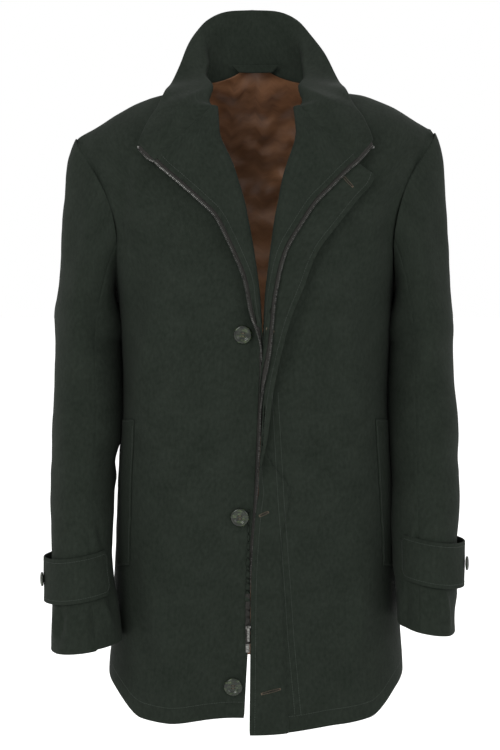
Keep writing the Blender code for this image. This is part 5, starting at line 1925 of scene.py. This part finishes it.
@dataclass
class Sewing:
    """Topstitching and buttonholes on the finished cloth."""

    finishes: Finishes
    body: Body
    sleeves: Sequence[Sleeve]
    # Millimetres from an edge, and the share of the fly's length above which it is turned
    edge_inset: float = 6.0
    strap_inset: float = 4.0
    welt_inset: float = 1.6
    fly_turned_from: float = 0.42
    stitch_size: Triple = (2.5, 0.55, 0.34)
    # Pixels of the photograph under the fly's double attachment line
    fly_lines: tuple = (((272, 392), (278, 500), (284, 580), (288, 640), (295, 716)),
                        ((278, 392), (284, 500), (290, 580), (294, 640), (301, 716)))
    buttonholes: tuple = (
        Buttonhole((340.5, 173.5), (353.0, 187.0)), Buttonhole((266.5, 328.5), (274.0, 332.0)),
        Buttonhole((259.5, 516.0), (268.5, 512.0)), Buttonhole((261.5, 694.0), (280.5, 689.0)))

    def run(self, name: str, lines: Sequence[tuple[Array, Array]], pitch: float = 3.1) -> None:
        """Sews lines as one piece."""
        stitches = Repeats()
        for points, normals in lines:
            if len(points) > 2:
                stitches.add_line(points, normals, pitch)
        piece = stitches.build(name, self.finishes.thread, self.stitch_size)
        dress(piece, self.finishes.thread, "shell_cloth")

    def build(self) -> None:
        """Sews the fronts, the hem, the cuffs, the straps, the welts and the buttonholes."""
        grids, pieces = self.body.grids, self.body.pieces
        self.run("stitches_leaf", [inset_line(grids["facing_" + side.word], "high_u", self.edge_inset)
                                   for side in Side])
        fly = grids["fly_placket"]
        fly_inner = fly.other_face(self.body.fly_wall)
        lines = [inset_line(fly, "high_u", self.edge_inset)]
        lines.append(inset_line(fly_inner, "high_u", self.edge_inset - 0.5, self.fly_turned_from))
        pen = SurfacePen([pieces["fly_placket"], pieces["front_left"], pieces["facing_left"]])
        lines += [pen.line(path) for path in self.fly_lines]
        self.run("stitches_fly", lines)
        turning = self.body.hem_turning
        self.run("stitches_hem", [inset_line(grids[name], "low_v", turning) for name in
                                  ("front_right", "front_left", "back")])
        for sleeve in self.sleeves:
            word = sleeve.side.word
            strap = sleeve.grids["cuff_strap_" + word]
            lines = [inset_line(grid, "low_v", turning) for grid in sleeve.grids.values()
                     if grid is not strap]
            lines += [inset_line(strap, edge, self.strap_inset, 0.02, 0.98) for edge in ("low_v", "high_v")]
            lines.append(inset_line(strap, "low_u", self.strap_inset, 0.12, 0.88))
            self.run("stitches_cuff_" + word, lines)
        lines = []
        for side in Side:
            welt = grids["welt_" + side.word]
            lines += [inset_line(welt, edge, self.welt_inset, 0.03, 0.97)
                      for edge in ("low_u", "high_v", "low_v")]
        self.run("stitches_welt", lines)
        ring, slit = Repeats(), Repeats()
        for hole in self.buttonholes:
            hole.sew(pen, ring, slit)
        # The slits' near-black marks are painted shade
        for name, repeats, finish, size in (
                ("buttonhole_stitches", ring, self.finishes.buttonhole, (1.5, 0.5, 0.5)),
                ("buttonhole_slits", slit, self.finishes.slit, (2.0, 0.9, 0.5))):
            dress(repeats.build(name, finish, size), finish, "shell_cloth")


# ---------------------------------------------------------------- studio

@dataclass(frozen=True)
class Studio:
    """White surroundings, a pale floor and soft lamps."""

    floor_z: float = -1.0
    floor_radius: float = 14.0
    floor_tone: Triple = (0.96, 0.96, 0.96)
    floor_glow: float = 0.2
    world: float = 1.0
    aim: Triple = (0.0, 0.0, -0.35)
    # Name, place in metres, size, power in watts
    lamps: tuple = (("key", (-1.7, -2.6, 1.5), 1.6, 42.0), ("fill", (2.2, -2.2, 0.7), 2.0, 16.0),
                    ("rim", (0.6, 2.2, 1.8), 1.6, 26.0))

    def build(self) -> None:
        """Adds the world, the floor and the lamps."""
        world = bpy.data.worlds.new("studio")
        world.use_nodes = True
        background = world.node_tree.nodes["Background"]
        background.inputs["Color"].default_value = (1, 1, 1, 1)
        background.inputs["Strength"].default_value = self.world
        bpy.context.scene.world = world
        bpy.context.scene.view_settings.view_transform = "Standard"
        bpy.context.scene.view_settings.look = "None"
        mesh = bmesh.new()
        bmesh.ops.create_circle(mesh, cap_ends=True, segments=64, radius=self.floor_radius)
        bmesh.ops.translate(mesh, vec=(0, 0, self.floor_z), verts=mesh.verts)
        data = bpy.data.meshes.new("floor")
        mesh.to_mesh(data)
        mesh.free()
        shader = Shader("pale_floor", Base_Color=(*self.floor_tone, 1), Roughness=0.9,
                        Specular_IOR_Level=0.0, Emission_Color=(1, 1, 1, 1),
                        Emission_Strength=self.floor_glow)
        data.materials.append(shader.material)
        add_object("floor", data)
        for name, place, size, power in self.lamps:
            lamp_data = bpy.data.lights.new(name, "AREA")
            lamp_data.shape, lamp_data.size, lamp_data.energy = "DISK", size, power
            lamp = add_object(name, lamp_data)
            lamp.location = place
            lamp.rotation_euler = (Vector(self.aim) - Vector(place)).to_track_quat("-Z", "Y").to_euler()


def paint_solids(frame: dict, finishes: Finishes) -> None:
    """Gives the zip's metal parts their worn finish."""
    for name in ("zip_slider", "zip_pull", "zip_box", "zip_stop_right", "zip_stop_left"):
        solid = frame["nodes"][name]
        for slot in solid.material_slots:
            slot.material = finishes.metal


def main() -> None:
    """Builds the coat piece by piece."""
    logging.basicConfig(level=logging.INFO, format="%(name)s: %(message)s")
    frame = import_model()
    PHOTO.make_camera()
    Studio().build()
    form, finishes = CoatForm(), Finishes.make()
    body = Body(form, finishes)
    body.build()
    collar = Collar(form, finishes)
    collar.build()
    sleeves = [Sleeve(side, form, finishes) for side in Side]
    for sleeve in sleeves:
        sleeve.build()
    body.declare_joined(Zip(form, finishes, body, collar).build())
    Buttons(form, finishes).build(sleeves)
    Sewing(finishes, body, sleeves).build()
    paint_solids(frame, finishes)


if __name__ == "__main__":
    main()
